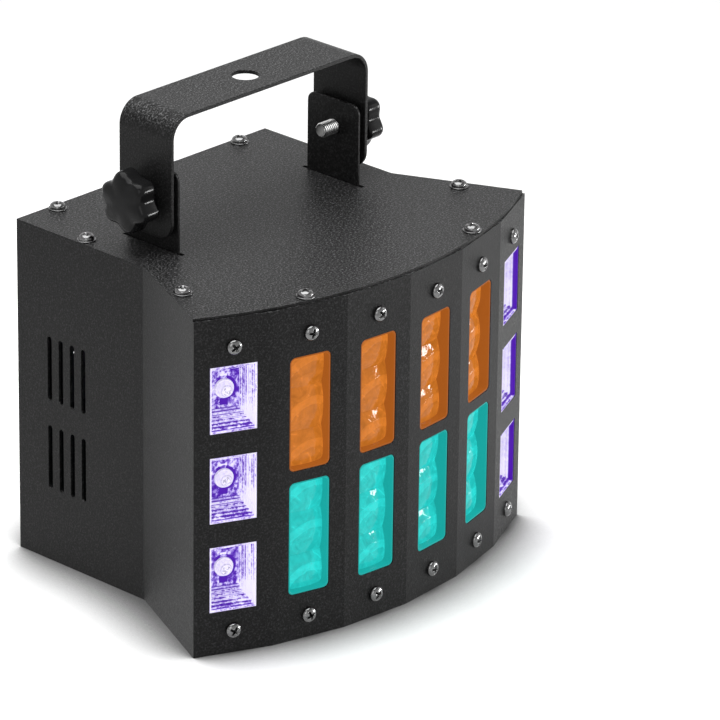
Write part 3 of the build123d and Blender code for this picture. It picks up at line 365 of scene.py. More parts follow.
def standing(place, outward):
    """A frame at a place, with z along a direction."""
    return Matrix.Translation(place) @ outward.to_track_quat("Z", "Y").to_matrix().to_4x4()


def joined(node):
    """A copy of a CAD node's mesh, with its loose triangles joined."""
    shape = bmesh.new()
    shape.from_mesh(nodes[node].data)
    bmesh.ops.remove_doubles(shape, verts=shape.verts, dist=2e-6)
    return shape


def solids(node):
    """The points of each separate solid of a CAD node."""
    shape = joined(node)
    left = set(shape.verts)
    groups = []
    while left:
        reached = [left.pop()]
        group = []
        while reached:
            vertex = reached.pop()
            group.append(vertex.co.copy())
            for edge in vertex.link_edges:
                other = edge.other_vert(vertex)
                if other in left:
                    left.remove(other)
                    reached.append(other)
        groups.append(group)
    shape.free()
    return groups


def ends_along(points, direction):
    """The middle of a solid seen along a direction, at its far end."""
    direction = Vector(direction)
    side = direction.cross(Vector((0, 0, 1)) if abs(direction.z) < 0.9 else Vector((1, 0, 0))).normalized()
    up = direction.cross(side)
    middle = Vector()
    for axis in (side, up):
        reach = [p.dot(axis) for p in points]
        middle += axis * (min(reach) + max(reach)) / 2
    return middle + direction * max(p.dot(direction) for p in points)


# Pieces
def add_object(name, data):
    """A new object in the scene."""
    thing = bpy.data.objects.new(name, data)
    bpy.context.scene.collection.objects.link(thing)
    return thing


def add_piece(name, mesh, slot, body, *replaced):
    """Adds a finished mesh to the scene as a piece that stands for CAD nodes."""
    mesh.materials.clear()
    mesh.materials.append(finishes[slot])
    piece = add_object(name, mesh)
    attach(piece, body)
    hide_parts(*replaced)


def baked(source, name):
    """The plain mesh of an object with its modifiers, which then goes."""
    bpy.context.view_layer.update()
    graph = bpy.context.evaluated_depsgraph_get()
    mesh = bpy.data.meshes.new_from_object(source.evaluated_get(graph))
    mesh.name = name
    bpy.data.objects.remove(source)
    return mesh


def smooth(mesh, degrees):
    """Soft shading, but for edges that turn by more than an angle."""
    mesh.shade_smooth()
    mesh.set_sharp_from_angle(angle=math.radians(degrees))


def mesh_of(shape, name):
    """A new mesh from a bmesh, which then goes."""
    mesh = bpy.data.meshes.new(name)
    shape.to_mesh(mesh)
    shape.free()
    return mesh


def mend(mesh, gap=0.0):
    """Joins the points that lie within a gap and turns every face outward."""
    shape = bmesh.new()
    shape.from_mesh(mesh)
    if gap:
        bmesh.ops.remove_doubles(shape, verts=shape.verts, dist=gap)
    bmesh.ops.recalc_face_normals(shape, faces=shape.faces)
    shape.to_mesh(mesh)
    shape.free()


def set_attribute(mesh, name, values):
    """Writes one number or vector to each point of a mesh."""
    vectors = isinstance(values[0], tuple)
    attribute = mesh.attributes.new(name, "FLOAT_VECTOR" if vectors else "FLOAT", "POINT")
    flat = [number for value in values for number in value] if vectors else values
    attribute.data.foreach_set("vector" if vectors else "value", flat)


class Shell:
    """A mesh that is built from loops of points."""

    def __init__(self):
        self.points = []
        self.faces = []

    def loop(self, points):
        start = len(self.points)
        self.points += [tuple(p) for p in points]
        return list(range(start, len(self.points)))

    def band(self, low, high):
        """Faces between two closed loops."""
        count = len(low)
        for i in range(count):
            j = (i + 1) % count
            self.faces.append((low[i], low[j], high[j], high[i]))

    def cap(self, loop, middle):
        """A fan of faces from a closed loop to a middle point."""
        centre = self.loop([middle])[0]
        for i, start in enumerate(loop):
            self.faces.append((start, loop[(i + 1) % len(loop)], centre))

    def turned(self, reaches, z, side=1.0):
        """A closed loop round the z axis, with one reach for each of its points."""
        turns = [math.tau * i / len(reaches) for i in range(len(reaches))]
        return self.loop((side * reach * math.cos(turn), reach * math.sin(turn), z)
                         for reach, turn in zip(reaches, turns))

    def skin(self, loops, first, last):
        """Faces from each loop to the next, and a cap on the axis at both ends."""
        for low, high in zip(loops, loops[1:]):
            self.band(low, high)
        self.cap(loops[0], (0, 0, first))
        self.cap(loops[-1], (0, 0, last))

    def lathe(self, profile, count, first, last):
        """A round body from the radius and the height of each of its rims."""
        self.skin([self.turned([radius] * count, z) for radius, z in profile], first, last)

    def mesh(self, name, matrix=None):
        mesh = bpy.data.meshes.new(name)
        mesh.from_pydata(self.points, [], self.faces)
        if matrix is not None:
            mesh.transform(matrix)
        mend(mesh)
        return mesh


def join_meshes(name, meshes):
    """One mesh of several."""
    shape = bmesh.new()
    for mesh in meshes:
        shape.from_mesh(mesh)
    return mesh_of(shape, name)


# Finishes
def powder_coat():
    """Black powder coat: a fine pebbled grain with paler tips and a slow orange peel under it; the grain is
    painted paler on faces that look up, a painted highlight on the top.
    """
    look = sizes("coat")
    finish = Finish("powder_coat")
    place = finish.place()
    grain = finish.noise(place, look.grain, detail=3.0, roughness=0.7)
    peel = finish.noise(place, 6 * look.grain, detail=1.0)
    patch = finish.noise(place, 0.05)
    upward = finish.parts(finish.add("ShaderNodeNewGeometry", output="Normal"))[2]
    # Painted highlight: the grain's pale tips are made paler the more a face looks up.
    tone = grain.ramp(0.46, 0.76) * (0.24 + upward.ramp(0.2, 0.9) * 1.1) + patch * 0.02
    base = finish.mix(tone.at_most(1.0), look.dark, look.light)
    rough = look.roughness + (grain - 0.5) * 0.8
    height = grain + peel * 0.3
    return finish.shine(Base_Color=base, Roughness=rough, Specular_IOR_Level=0.12,
                        Normal=finish.bump(height, look.grain * 0.16, 1.0))


def metal(name, tint, roughness, streak, bright=1.0):
    """Plated or bare metal with fine streaks, a few dull spots and painted shade in its recesses."""
    finish = Finish(name)
    place = finish.place()
    lines = finish.noise(finish.stretched(place, streak), 0.0006, detail=3.0, roughness=0.65)
    spots = finish.noise(place, 0.003)
    tone = lines * 0.5 + spots * 0.3
    base = finish.mix(tone, [c * 0.82 for c in tint], scaled(tint, bright))
    # Painted shade: marked recesses and thread grooves are painted near black and made duller.
    painted_recess_shade = finish.named("painted_recess_shade")
    base = finish.mix(painted_recess_shade, base, (0.03, 0.03, 0.03))
    rough = roughness + lines * 0.12 + spots.ramp(0.55, 0.8) * 0.1 + painted_recess_shade * 0.3
    return finish.shine(Base_Color=base, Metallic=1.0, Roughness=rough,
                        Normal=finish.bump(lines, 0.00002, 0.3))


def moulded(name, tint, roughness, grain, shine=0.5, pale=1.35):
    """Moulded plastic with a faint mottle and the grain of its mould."""
    finish = Finish(name)
    place = finish.place()
    fine = finish.noise(place, grain)
    flow = finish.noise(finish.stretched(place, (1.0, 1.0, 3.0)), 0.012, distortion=0.6)
    base = finish.mix(fine * 0.5 + flow * 0.5, tint, scaled(tint, pale))
    rough = roughness + flow * 0.08 + (fine - 0.5) * 0.06
    return finish.shine(Base_Color=base, Roughness=rough, Specular_IOR_Level=shine,
                        Normal=finish.bump(fine, grain * 0.08, 0.25))


def lens_plastic(name, tint, shade):
    """Lit, glossy tinted plastic: faint moulded arcs round each cell, painted shade along the seams between
    the cells, and a wall painted darker as painted shade.
    """
    finish = Finish(name)
    across, up = finish.parts(finish.named("cell_place", "Vector"))[:2]
    wall = finish.named("wall")
    wobble = finish.noise(finish.place(), 0.008, distortion=1.5) - 0.5
    smear = finish.noise(finish.place(), 0.0025, distortion=0.5) - 0.5
    reach = reach_of(across + 9.0, up + 8.0) + wobble * 3.0
    arcs = (reach * 1.1).sine() * 0.5 + 0.5
    thin = arcs.ramp(0.93, 0.995) * wobble.ramp(-0.05, 0.2)
    corner = reach_of(across - 4.0, up + 12.0) + wobble * 2.0
    leaf = corner.ramp(13.4, 13.8) - corner.ramp(17.5, 18.0)
    # Painted shade: the seams between the cells are painted darker.
    painted_seam_shade = abs(up).ramp(11.0, 11.3)
    tone = 0.44 + wobble * 1.2 + smear * 0.5 + leaf * 0.34 + thin * 0.45 - painted_seam_shade * 0.4
    face = finish.mix(tone, [c * 0.74 for c in tint], [min(1.0, c * 1.26 + 0.008) for c in tint])
    # Painted shade: the pan's wall is painted in its darker colour.
    face = finish.mix(wall, face, shade)
    height = thin * 0.3 + leaf * 0.5 + smear * 0.25 + wobble * 1.5
    return finish.glowing(face, 0.75, 0.8, Roughness=0.07 + wall * 0.2,
                          Specular_IOR_Level=sizes("lens").gloss,
                          Normal=finish.bump(height, 0.0004, 0.5))


def violet_colours(finish, tone):
    """The run of colours of all that the violet lamps light, from the deep violet of painted shade to the
    pale lavender of painted highlights.
    """
    look = sizes("violet")
    half = [a * 0.45 + b * 0.55 for a, b in zip(look.middle, look.pale)]
    return finish.colours(tone, [(0.0, look.deep), (0.3, [c * 0.8 for c in look.middle]), (0.55, half),
                                 (0.85, look.pale)])


def violet_plastic():
    """Plated steps lit by the violet lamps, with the lamps' light painted in as a glow: broken streaks along
    each step as painted reflections, painted highlights, and painted shade deep in the cups and as a deep
    violet side band.
    """
    look = sizes("violet")
    finish = Finish("violet_reflector")
    across, up, depth = finish.parts(finish.named("cup_place", "Vector"))
    deep_side = finish.named("deep_side")
    place = finish.place()
    ripple = finish.noise(place, 0.0016, detail=3.0, roughness=0.75)
    slow = finish.noise(place, 0.006, distortion=0.8)
    inward = abs(across).at_least(abs(up))
    # Painted reflections: glowing streaks along each step stand in for the lamps' light on the plated steps.
    streak = ((inward + depth * 0.6) * 52.0 + slow * 5.0 + ripple * 3.5).sine() * 0.5 + 0.5
    # Painted highlights at a corner of each cup and along its left edge.
    corner = (across - up).ramp(0.9, 1.6) * (across + up).ramp(-0.04, 0.08)
    edge = (0.0 - across).ramp(0.86, 1.0)
    tone = streak * 0.62 + ripple.ramp(0.3, 0.72) * 0.5 + slow.ramp(0.45, 0.7) * 0.3 - 0.2
    # Painted light: a lit region towards the right and the top of each cup.
    lit = across.ramp(0.35, 0.8) * (up + across).ramp(-0.2, 0.2) * 0.3
    # Painted shade deep in each cup.
    tone = tone + corner * 0.6 + lit + edge * 0.4 - depth.ramp(0.8, 1.0) * 0.25 - 0.07
    # On the right cups a part of the left wall is painted an even pale tone, painted light.
    calm = deep_side * across.ramp(-0.9, -0.7) * (0.0 - up).ramp(0.95, 0.7) * 0.75
    tone = tone * (1.0 - calm) + calm * 0.66
    # Painted shade: a deep violet band along the right wall of the right cups.
    band = across.ramp(0.8, 0.92) * (1.0 - depth.ramp(0.17, 0.21)) * deep_side
    tone = tone * (1.0 - band)
    base = violet_colours(finish, tone)
    return finish.glowing(base, 0.5, look.glow, Roughness=0.25 + ripple * 0.15, Specular_IOR_Level=0.15,
                          Normal=finish.bump(ripple + streak * 0.6, 0.0003, 0.4))


def lit_board(side, facet):
    """A lamp board in violet light that is painted in as a violet glow: mottled, with a dark block round each
    lamp's foot and a dark ring on one side of the foot as painted shade.
    """
    look = sizes("violet")
    finish = Finish(side + "_lit_board")
    place = finish.place()
    x, y, z = finish.parts(place)
    matrix = facet_matrix(facet)
    axis = matrix.to_3x3() @ Vector((1, 0, 0))
    low, middle = cup_centres(side)[:2]
    across = ((x - matrix.translation.x) * axis.x + (y - matrix.translation.y) * axis.y) / MM
    up = (((z - low) / (middle - low) + 0.5).fraction() - 0.5) * ((middle - low) / MM)
    away = reach_of(across, up)
    mottle = finish.noise(place, 0.0018, detail=3.0, roughness=0.7)
    slow = finish.noise(finish.stretched(place, (1.0, 1.0, 0.5)), 0.004, distortion=0.8)
    # Painted shade: a dark ring on one side of each lamp's foot.
    ring = (away.ramp(4.8, 5.1) - away.ramp(6.2, 6.8)) * (across + up * 0.6).ramp(-3.5, 1.0)
    block = (1.0 - abs(across).ramp(1.9, 2.3)) * (1.0 - abs(up + 7.0).ramp(1.6, 2.0))
    neck = (1.0 - abs(across).ramp(1.4, 1.9)) * (1.0 - abs(up - 6.2).ramp(1.0, 1.4))
    tone = mottle.ramp(0.34, 0.68) * 0.55 + slow.ramp(0.36, 0.64) * 0.45 - 0.12
    tone = tone - ring * 0.7 - block * 0.8 + neck * 0.6
    base = violet_colours(finish, tone)
    # The board glows in the violet colours: painted light of the lamps.
    return finish.glowing(base, 0.5, look.glow, Roughness=0.4 + mottle * 0.1, Specular_IOR_Level=0.15,
                          Normal=finish.bump(mottle, 0.0002, 0.3))


def lamp_dome(name, tint, strength, grain):
    """A clear lamp dome over a mottled chip, with a darker ring where one is marked."""
    finish = Finish(name)
    mottle = finish.noise(finish.place(), grain, detail=3.0, roughness=0.7, distortion=0.5)
    reach = finish.named("reach")
    chip = reach.ramp(0.02, 0.06) * (1.0 - reach.ramp(0.4, 0.48))
    ring = reach.ramp(0.48, 0.54) * (1.0 - reach.ramp(0.6, 0.66)) + reach.ramp(0.9, 0.96)
    shade = (1.0 - mottle.ramp(0.36, 0.6)) * (0.32 + chip * 0.8) + ring * 0.45
    base = finish.mix(shade.at_most(1.0), tint, [c ** 1.5 * 0.5 for c in tint])
    return finish.glowing(base, 0.5, strength, Roughness=0.15 + mottle * 0.1, Specular_IOR_Level=0.3,
                          Normal=finish.bump(mottle, grain * 0.2, 0.3))


def circuit_board(name, tint, trace):
    """Solder mask with faint tracks under it."""
    finish = Finish(name)
    place = finish.place()
    settings = {"feature": "DISTANCE_TO_EDGE"}
    cells = finish.add("ShaderNodeTexVoronoi", settings, {"Vector": place, "Scale": 220.0})
    tracks = 1.0 - cells.ramp(0.02, 0.05)
    base = finish.mix(tracks * 0.6, tint, trace)
    rough = 0.35 + finish.noise(place, 0.004) * 0.12
    return finish.shine(Base_Color=base, Roughness=rough, Normal=finish.bump(tracks, 0.00005, 0.4))


def dark_glass(name, tint):
    """Dark clear plastic over a lamp or sensor."""
    finish = Finish(name)
    depth = finish.noise(finish.place(), 0.004, detail=1.0)
    base = finish.mix(depth, [c * 0.6 for c in tint], tint)
    return finish.shine(Base_Color=base, Roughness=0.08 + depth * 0.06, Coat_Weight=0.5, Coat_Roughness=0.03)


finishes = {}


def make_finishes():
    """All finishes, named after the record's material slots."""
    lens, violet = sizes("lens"), sizes("violet")
    looks = {
        metal: {
            "zinc_thread": ((0.95, 0.95, 0.94), 0.14, (1.0, 0.3, 0.3)),
            "bright_nickel": ((0.1, 0.1, 0.1), 0.12, (1.0, 1.0, 1.0), 2.6),
            "zinc_sheet": ((0.6, 0.61, 0.62), 0.32, (1.0, 1.0, 0.1)),
            "bush_brass": ((0.78, 0.6, 0.3), 0.24, (1.0, 1.0, 0.4)),
            "ground_steel": ((0.62, 0.62, 0.62), 0.22, (1.0, 1.0, 0.2)),
            "folded_aluminium": ((0.74, 0.74, 0.75), 0.35, (1.0, 1.0, 0.1)),
            "motor_steel": ((0.56, 0.56, 0.57), 0.3, (1.0, 1.0, 0.2)),
        },
        moulded: {
            "black_nylon": ((0.022, 0.022, 0.022), 0.5, 0.0005),
            "knob_plastic": ((0.006, 0.006, 0.0062), 0.14, 0.0007, 0.1),
            "gear_nylon": ((0.72, 0.7, 0.62), 0.42, 0.0006, 0.5, 1.1),
            "fan_plastic": ((0.014, 0.014, 0.0145), 0.38, 0.0006),
            "inlet_plastic": ((0.014, 0.014, 0.0145), 0.42, 0.0006),
            "button_plastic": ((0.02, 0.02, 0.02), 0.36, 0.0005),
        },
        circuit_board: {
            "white_board": ((0.82, 0.82, 0.8), (0.74, 0.74, 0.72)),
            "green_board": ((0.02, 0.11, 0.05), (0.05, 0.2, 0.08)),
        },
        lamp_dome: {
            "turquoise_lamp": ((0.45, 0.95, 0.9), 0.6, 0.001),
            "amber_lamp": ((0.98, 0.68, 0.3), 0.6, 0.001),
            "violet_lamp": (violet.pale, 0.76, 0.0012),
        },
        dark_glass: {"display_red": ((0.06, 0.004, 0.004),), "eye_red": ((0.1, 0.006, 0.012),)},
        lens_plastic: {
            "amber_lens": (lens.amber, lens.amber_wall_shade),
            "turquoise_lens": (lens.turquoise, lens.turquoise_wall_shade),
        },
    }
    for make, named in looks.items():
        for name, values in named.items():
            finishes[name] = make(name, *values)
    finishes["powder_coat"] = powder_coat()
    finishes["violet_reflector"] = violet_plastic()
    for side, facet in violet_sides():
        finishes[side + "_uv_board"] = lit_board(side, facet)


# Coated sheet metal
coated = ("lid", "front_panel", "left_side_wall", "right_side_wall", "rear_panel", "base_plate", "left_ear",
          "right_ear", "safety_eye", "yoke")


def coat_sheets():
    """The sheets again, with the soft edges that a coat leaves."""
    for node in coated:
        shape = joined(node)
        bmesh.ops.dissolve_limit(shape, angle_limit=math.radians(0.5), verts=shape.verts, edges=shape.edges)
        mesh = mesh_of(shape, node)
        thing = add_object(node + "_sheet", mesh)
        bevel = thing.modifiers.new("edges", "BEVEL")
        bevel.width = sizes("casing").edge_round
        bevel.segments = 2
        bevel.limit_method = "ANGLE"
        bevel.angle_limit = math.radians(40.0)
        bevel.use_clamp_overlap = True
        flat = thing.modifiers.new("flat faces", "WEIGHTED_NORMAL")
        flat.keep_sharp = True
        smooth(mesh, 30.0)
        body = "yoke" if node == "yoke" else "casing"
        add_piece(node + "_coated", baked(thing, node + "_coated"), "powder_coat", body, node)


# Screws and washers
def screw_head():
    """A unit pan head with a cross recess, one wide and one high, standing on z = 0."""
    shell = Shell()
    crown = 0.99
    shell.lathe([(0.5, 0.0), (0.5, 0.3), (0.492, 0.42), (0.466, 0.56), (0.42, 0.7), (0.34, 0.84),
                 (0.22, 0.95), (0.1, crown)], 40, 0.0, 1.0)
    head = add_object("head", shell.mesh("head"))
    cross = Shell()
    wide, reach = 0.085, 0.34
    outline = [(wide, wide), (wide, reach), (-wide, reach), (-wide, wide), (-reach, wide), (-reach, -wide),
               (-wide, -wide), (-wide, -reach), (wide, -reach), (wide, -wide), (reach, -wide), (reach, wide)]
    ends = ((0.5, 0.2), (1.1, 1.2))
    loops = [cross.loop((x * taper, y * taper, z) for x, y in outline) for taper, z in ends]
    cross.skin(loops, 0.22, 1.2)
    cutter = add_object("cross", cross.mesh("cross"))
    cut = head.modifiers.new("recess", "BOOLEAN")
    cut.object = cutter
    cut.operation = "DIFFERENCE"
    cut.solver = "EXACT"
    soft = head.modifiers.new("soft edges", "BEVEL")
    soft.width = 0.014
    soft.segments = 2
    soft.angle_limit = math.radians(38.0)
    mesh = baked(head, "screw_head")
    bpy.data.objects.remove(cutter)
    # Painted shade: points inside the cross recess are marked to be painted dark.
    painted_recess_shades = []
    for x, y, z in (vertex.co for vertex in mesh.vertices):
        away = math.hypot(x, y)
        inside = away < reach + 0.02 and 0.1 < z < crown - 1.3 * away * away - 0.04
        painted_recess_shades.append(1.0 if inside else 0.0)
    set_attribute(mesh, "painted_recess_shade", painted_recess_shades)
    smooth(mesh, 40.0)
    return mesh


def named_group(name, inputs):
    """A Geometry Nodes tree with named inputs, its nodes and the inputs' sockets."""
    tree = bpy.data.node_groups.new(name, "GeometryNodeTree")
    for label, kind in inputs.items():
        tree.interface.new_socket(label, in_out="INPUT", socket_type="NodeSocket" + kind)
    tree.interface.new_socket("Geometry", in_out="OUTPUT", socket_type="NodeSocketGeometry")
    build = Nodes(tree)
    return tree, build, dict(zip(inputs, build.several("NodeGroupInput", inputs)))


def end_group(build, geometry, material):
    """Makes the instances real, gives them their material and closes the tree."""
    real = build.add("GeometryNodeRealizeInstances", None, {0: geometry})
    done = build.add("GeometryNodeSetMaterial", None, {"Geometry": real, "Material": material})
    build.add("NodeGroupOutput", None, {0: done})


def spread_tree():
    """A tree that stands a unit shape on each point, turned to face outward and by a seeded angle."""
    tree, build, given = named_group("spread_shapes", {
        "Points": "Geometry", "Shape": "Object", "Width": "Float", "Height": "Float", "Seed": "Int",
        "Finish": "Material"})
    facing = build.add("GeometryNodeInputNamedAttribute", {"data_type": "FLOAT_VECTOR"}, {"Name": "facing"})
    turned = build.add("FunctionNodeAlignRotationToVector", {"axis": "Z"}, {"Vector": facing})
    spin = build.add("FunctionNodeRandomValue", {"data_type": "FLOAT"},
                     {2: 0.0, 3: math.tau / 4, "Seed": given["Seed"]}, output=1)
    about = build.add("FunctionNodeAxisAngleToRotation", None, {"Axis": (0.0, 0.0, 1.0), "Angle": spin})
    turned = build.add("FunctionNodeRotateRotation", {"rotation_space": "LOCAL"}, {0: turned, 1: about})
    shape = build.add("GeometryNodeObjectInfo", None, {"Object": given["Shape"]}, output="Geometry")
    axes = {0: given["Width"], 1: given["Width"], 2: given["Height"]}
    scale = build.add("ShaderNodeCombineXYZ", None, axes)
    stood = build.add("GeometryNodeInstanceOnPoints", None, {
        "Points": given["Points"], "Instance": shape, "Rotation": turned, "Scale": scale})
    end_group(build, stood, given["Finish"])
    return tree


def grown(name, tree, places, values, facings=()):
    """The mesh that a tree makes on points, from the values of its named inputs."""
    points = bpy.data.meshes.new(name + "_points")
    points.from_pydata([tuple(place) for place in places], [], [])
    if facings:
        set_attribute(points, "facing", [tuple(facing) for facing in facings])
    thing = add_object(name + "_points", points)
    modifier = thing.modifiers.new(name, "NODES")
    modifier.node_group = tree
    for item in tree.interface.items_tree:
        if item.name in values:
            modifier[item.identifier] = values[item.name]
    return baked(thing, name)


def screw_facing(node, points):
    """The direction that a screw's head looks in."""
    if node == "lid_screws":
        return Vector((0, 0, 1))
    if node == "rear_screws":
        return Vector((0, 1, 0))
    middle = sum(points, Vector()) / len(points)
    facets = range(sizes("casing").facet_count)
    return facet_outward(min(facets, key=lambda i: abs((facet_matrix(i).inverted() @ middle).x)))


def fit_screws():
    """All screws, with heads that have rounded rims and a tapered cross recess, and the lid's washers."""
    screw = sizes("screws")
    tree = spread_tree()
    template = add_object("template", screw_head())
    for node, width, height in (("lid_screws", screw.m4_width, screw.m4_height),
                                ("front_screws", screw.m4_width, screw.m4_height),
                                ("rear_screws", screw.m3_width, screw.m3_height)):
        places, facings, shanks = [], [], []
        for points in solids(node):
            facing = screw_facing(node, points)
            seat = ends_along(points, facing) - facing * height
            places.append(seat)
            facings.append(facing)
            shanks.append(shank(seat, ends_along(points, -facing), facing, width))
        heads = grown(node, tree, places, {
            "Shape": template, "Width": width, "Height": height, "Seed": screw.seed,
            "Finish": finishes["bright_nickel"]}, facings)
        whole = join_meshes(node + "_set", [heads] + shanks)
        smooth(whole, 40.0)
        add_piece(node + "_set", whole, "bright_nickel", "casing", node)
    bpy.data.objects.remove(template)
    fit_washers()


def shank(top, end, facing, head_width):
    """The plain shank under a head, narrower at its end."""
    radius, length = head_width / 4, (top - end).length
    shell = Shell()
    shell.lathe([(radius, 0.0), (radius, radius / 2 - length), (radius * 0.6, -length)], 16, 0.0, -length)
    return shell.mesh("shank", standing(top, facing))


def washer_tree():
    """A tree that lays a round ring of rectangular section on each point."""
    tree, build, given = named_group("lay_washers", {
        "Points": "Geometry", "Width": "Float", "Hole": "Float", "Height": "Float", "Round": "Float",
        "Finish": "Material"})
    middle = (given["Width"] + given["Hole"]) / 4.0
    breadth = (given["Width"] - given["Hole"]) / 2.0
    path = build.add("GeometryNodeCurvePrimitiveCircle", None, {"Resolution": 40, "Radius": middle})
    section = build.add("GeometryNodeCurvePrimitiveQuadrilateral", None, {
        "Width": breadth, "Height": given["Height"]})
    section = build.add("GeometryNodeFilletCurve", {"mode": "POLY"}, {
        "Curve": section, "Count": 3, "Radius": given["Round"], "Limit Radius": True})
    ring = build.add("GeometryNodeCurveToMesh", None, {0: path, "Profile Curve": section})
    laid = build.add("GeometryNodeInstanceOnPoints", None, {"Points": given["Points"], "Instance": ring})
    end_group(build, laid, given["Finish"])
    return tree


def fit_washers():
    """The plain washers under the lid's screws."""
    screw = sizes("screws")
    half = Vector((0, 0, screw.washer_height / 2))
    places = [ends_along(points, (0, 0, 1)) - half for points in solids("lid_washers")]
    mesh = grown("lid_washers_set", washer_tree(), places, {
        "Width": screw.washer_width, "Hole": screw.washer_hole, "Height": screw.washer_height,
        "Round": screw.washer_height * 0.3, "Finish": finishes["bright_nickel"]})
    mend(mesh, 1e-7)
    smooth(mesh, 40.0)
    add_piece("lid_washers_set", mesh, "bright_nickel", "casing", "lid_washers")


# Knobs and studs
KNOB_POINTS = 144
KNOB_STEPS = 6


def pivot_matrix(side):
    """A frame on a knob's axis, at its seat beside the yoke: z looks outward from the casing."""
    pivot = sum(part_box("right_stud"), Vector()) / 2
    turn = Matrix(((0, 1, 0), (0, 0, 1), (1, 0, 0))).transposed().to_4x4()
    place = Matrix.Translation((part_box("right_knob")[0].x, pivot.y, pivot.z)) @ turn
    return place if side == "right" else Matrix.Scale(-1, 4, (1, 0, 0)) @ place


def knob_loop(shell, inset, z):
    """One outline of the knob, moved in by an inset: wavy at the rim, round near the middle."""
    knob = sizes("knob")
    wave = knob.valley / 2
    waviness = min(1.0, max(0.0, 1.35 - 1.8 * inset / (knob.width / 2)))
    reaches = []
    for i in range(KNOB_POINTS):
        dip = wave - wave * math.cos(knob.lobes * (math.tau * i / KNOB_POINTS - knob.phase))
        reaches.append(knob.width / 2 - dip * waviness - inset)
    return shell.turned(reaches, z, -1.0)


def star_knob(side):
    """A moulded knob: wavy sides with a broad round at the face and a low crown on it."""
    knob = sizes("knob")
    shell = Shell()
    face_round, back_round, crown, crown_reach = 3.6 * MM, 1.6 * MM, 0.7 * MM, 0.82
    hub, hub_chamfer = knob.hub_width / 2, 0.5 * MM
    loops = [shell.turned([radius] * KNOB_POINTS, z, -1.0) for radius, z in (
        (hub - hub_chamfer, 0.0), (hub, hub_chamfer), (hub, knob.hub_height))]
    for i in range(KNOB_STEPS + 1):
        turn = math.pi / 2 * i / KNOB_STEPS
        loops.append(knob_loop(shell, back_round * (1 - math.sin(turn)),
                               knob.hub_height + back_round * (1 - math.cos(turn))))
    low, high = knob.hub_height + back_round, knob.height - crown - face_round
    loops.append(knob_loop(shell, 0.0, (low + high) / 2))
    for i in range(KNOB_STEPS + 3):
        turn = math.pi / 2 * i / (KNOB_STEPS + 2)
        loops.append(knob_loop(shell, face_round * (1 - math.cos(turn)), high + face_round * math.sin(turn)))
    for i in range(1, 5):
        part = i / 5
        inset = face_round + (knob.width / 2 - face_round) * part * crown_reach
        loops.append(knob_loop(shell, inset, knob.height - crown * (1 - part * (2 - part))))
    shell.skin(loops, 0.0, knob.height)
    mesh = shell.mesh(side + "_star_knob", pivot_matrix(side))
    smooth(mesh, 50.0)
    return mesh


def threaded_stud(side):
    """A stud with a real helical thread, chamfered at its free end."""
    knob = sizes("knob")
    low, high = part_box("right_stud")
    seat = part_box("right_knob")[0].x
    around, per_pitch, chamfer = 32, 8, 0.9 * MM
    rows = int((high.x - low.x) / knob.pitch * per_pitch) + 1
    shell = Shell()
    loops, painted_recess_shades = [], []
    for row in range(rows + 1):
        z = min(low.x + row * knob.pitch / per_pitch, high.x)
        reaches = []
        for i in range(around):
            phase = (z / knob.pitch - i / around) % 1.0
            cut = knob.thread_depth * (1 - abs(2 * phase - 1)) ** 0.8
            reaches.append(min(knob.stud_width / 2 - cut, knob.stud_width / 2 - chamfer + (z - low.x)))
            # Painted shade: the deeper a point lies in the thread's groove, the darker it is painted.
            painted_recess_shades.append(min(1.0, max(0.0, cut / knob.thread_depth * 2.0 - 0.6)))
        loops.append(shell.turned(reaches, z - seat))
    shell.skin(loops, low.x - seat, high.x - seat)
    mesh = shell.mesh(side + "_thread", pivot_matrix(side))
    # The end caps get half the painted shade.
    set_attribute(mesh, "painted_recess_shade", painted_recess_shades + [0.5] * (len(mesh.vertices) - len(painted_recess_shades)))
    smooth(mesh, 32.0)
    return mesh


def make_knobs():
    """Both star knobs on their threaded studs."""
    for side in ("left", "right"):
        body = side + "_knob"
        add_piece(side + "_star_knob", star_knob(side), "knob_plastic", body, body)
        add_piece(side + "_thread", threaded_stud(side), "zinc_thread", body, side + "_stud")


# Lens strips
def rounded_loop(width, height, radius, z):
    """Points of a rectangle with round corners, anticlockwise from its right side's top."""
    corner, across, upward = 8, 20, 56
    points = []
    for x, y, start, side, count in ((1, 1, 0.0, width, across), (-1, 1, 0.25, height, upward),
                                     (-1, -1, 0.5, width, across), (1, -1, 0.75, height, upward)):
        for i in range(corner + 1):
            turn = math.tau * (start + 0.25 * i / corner)
            points.append((x * (width / 2 - radius) + radius * math.cos(turn),
                           y * (height / 2 - radius) + radius * math.sin(turn), z))
        last, turn = points[-1], math.tau * (start + 0.25)
        step = (side - 2 * radius) / count
        for i in range(1, count):
            points.append((last[0] - step * i * math.sin(turn), last[1] + step * i * math.cos(turn), z))
    return points


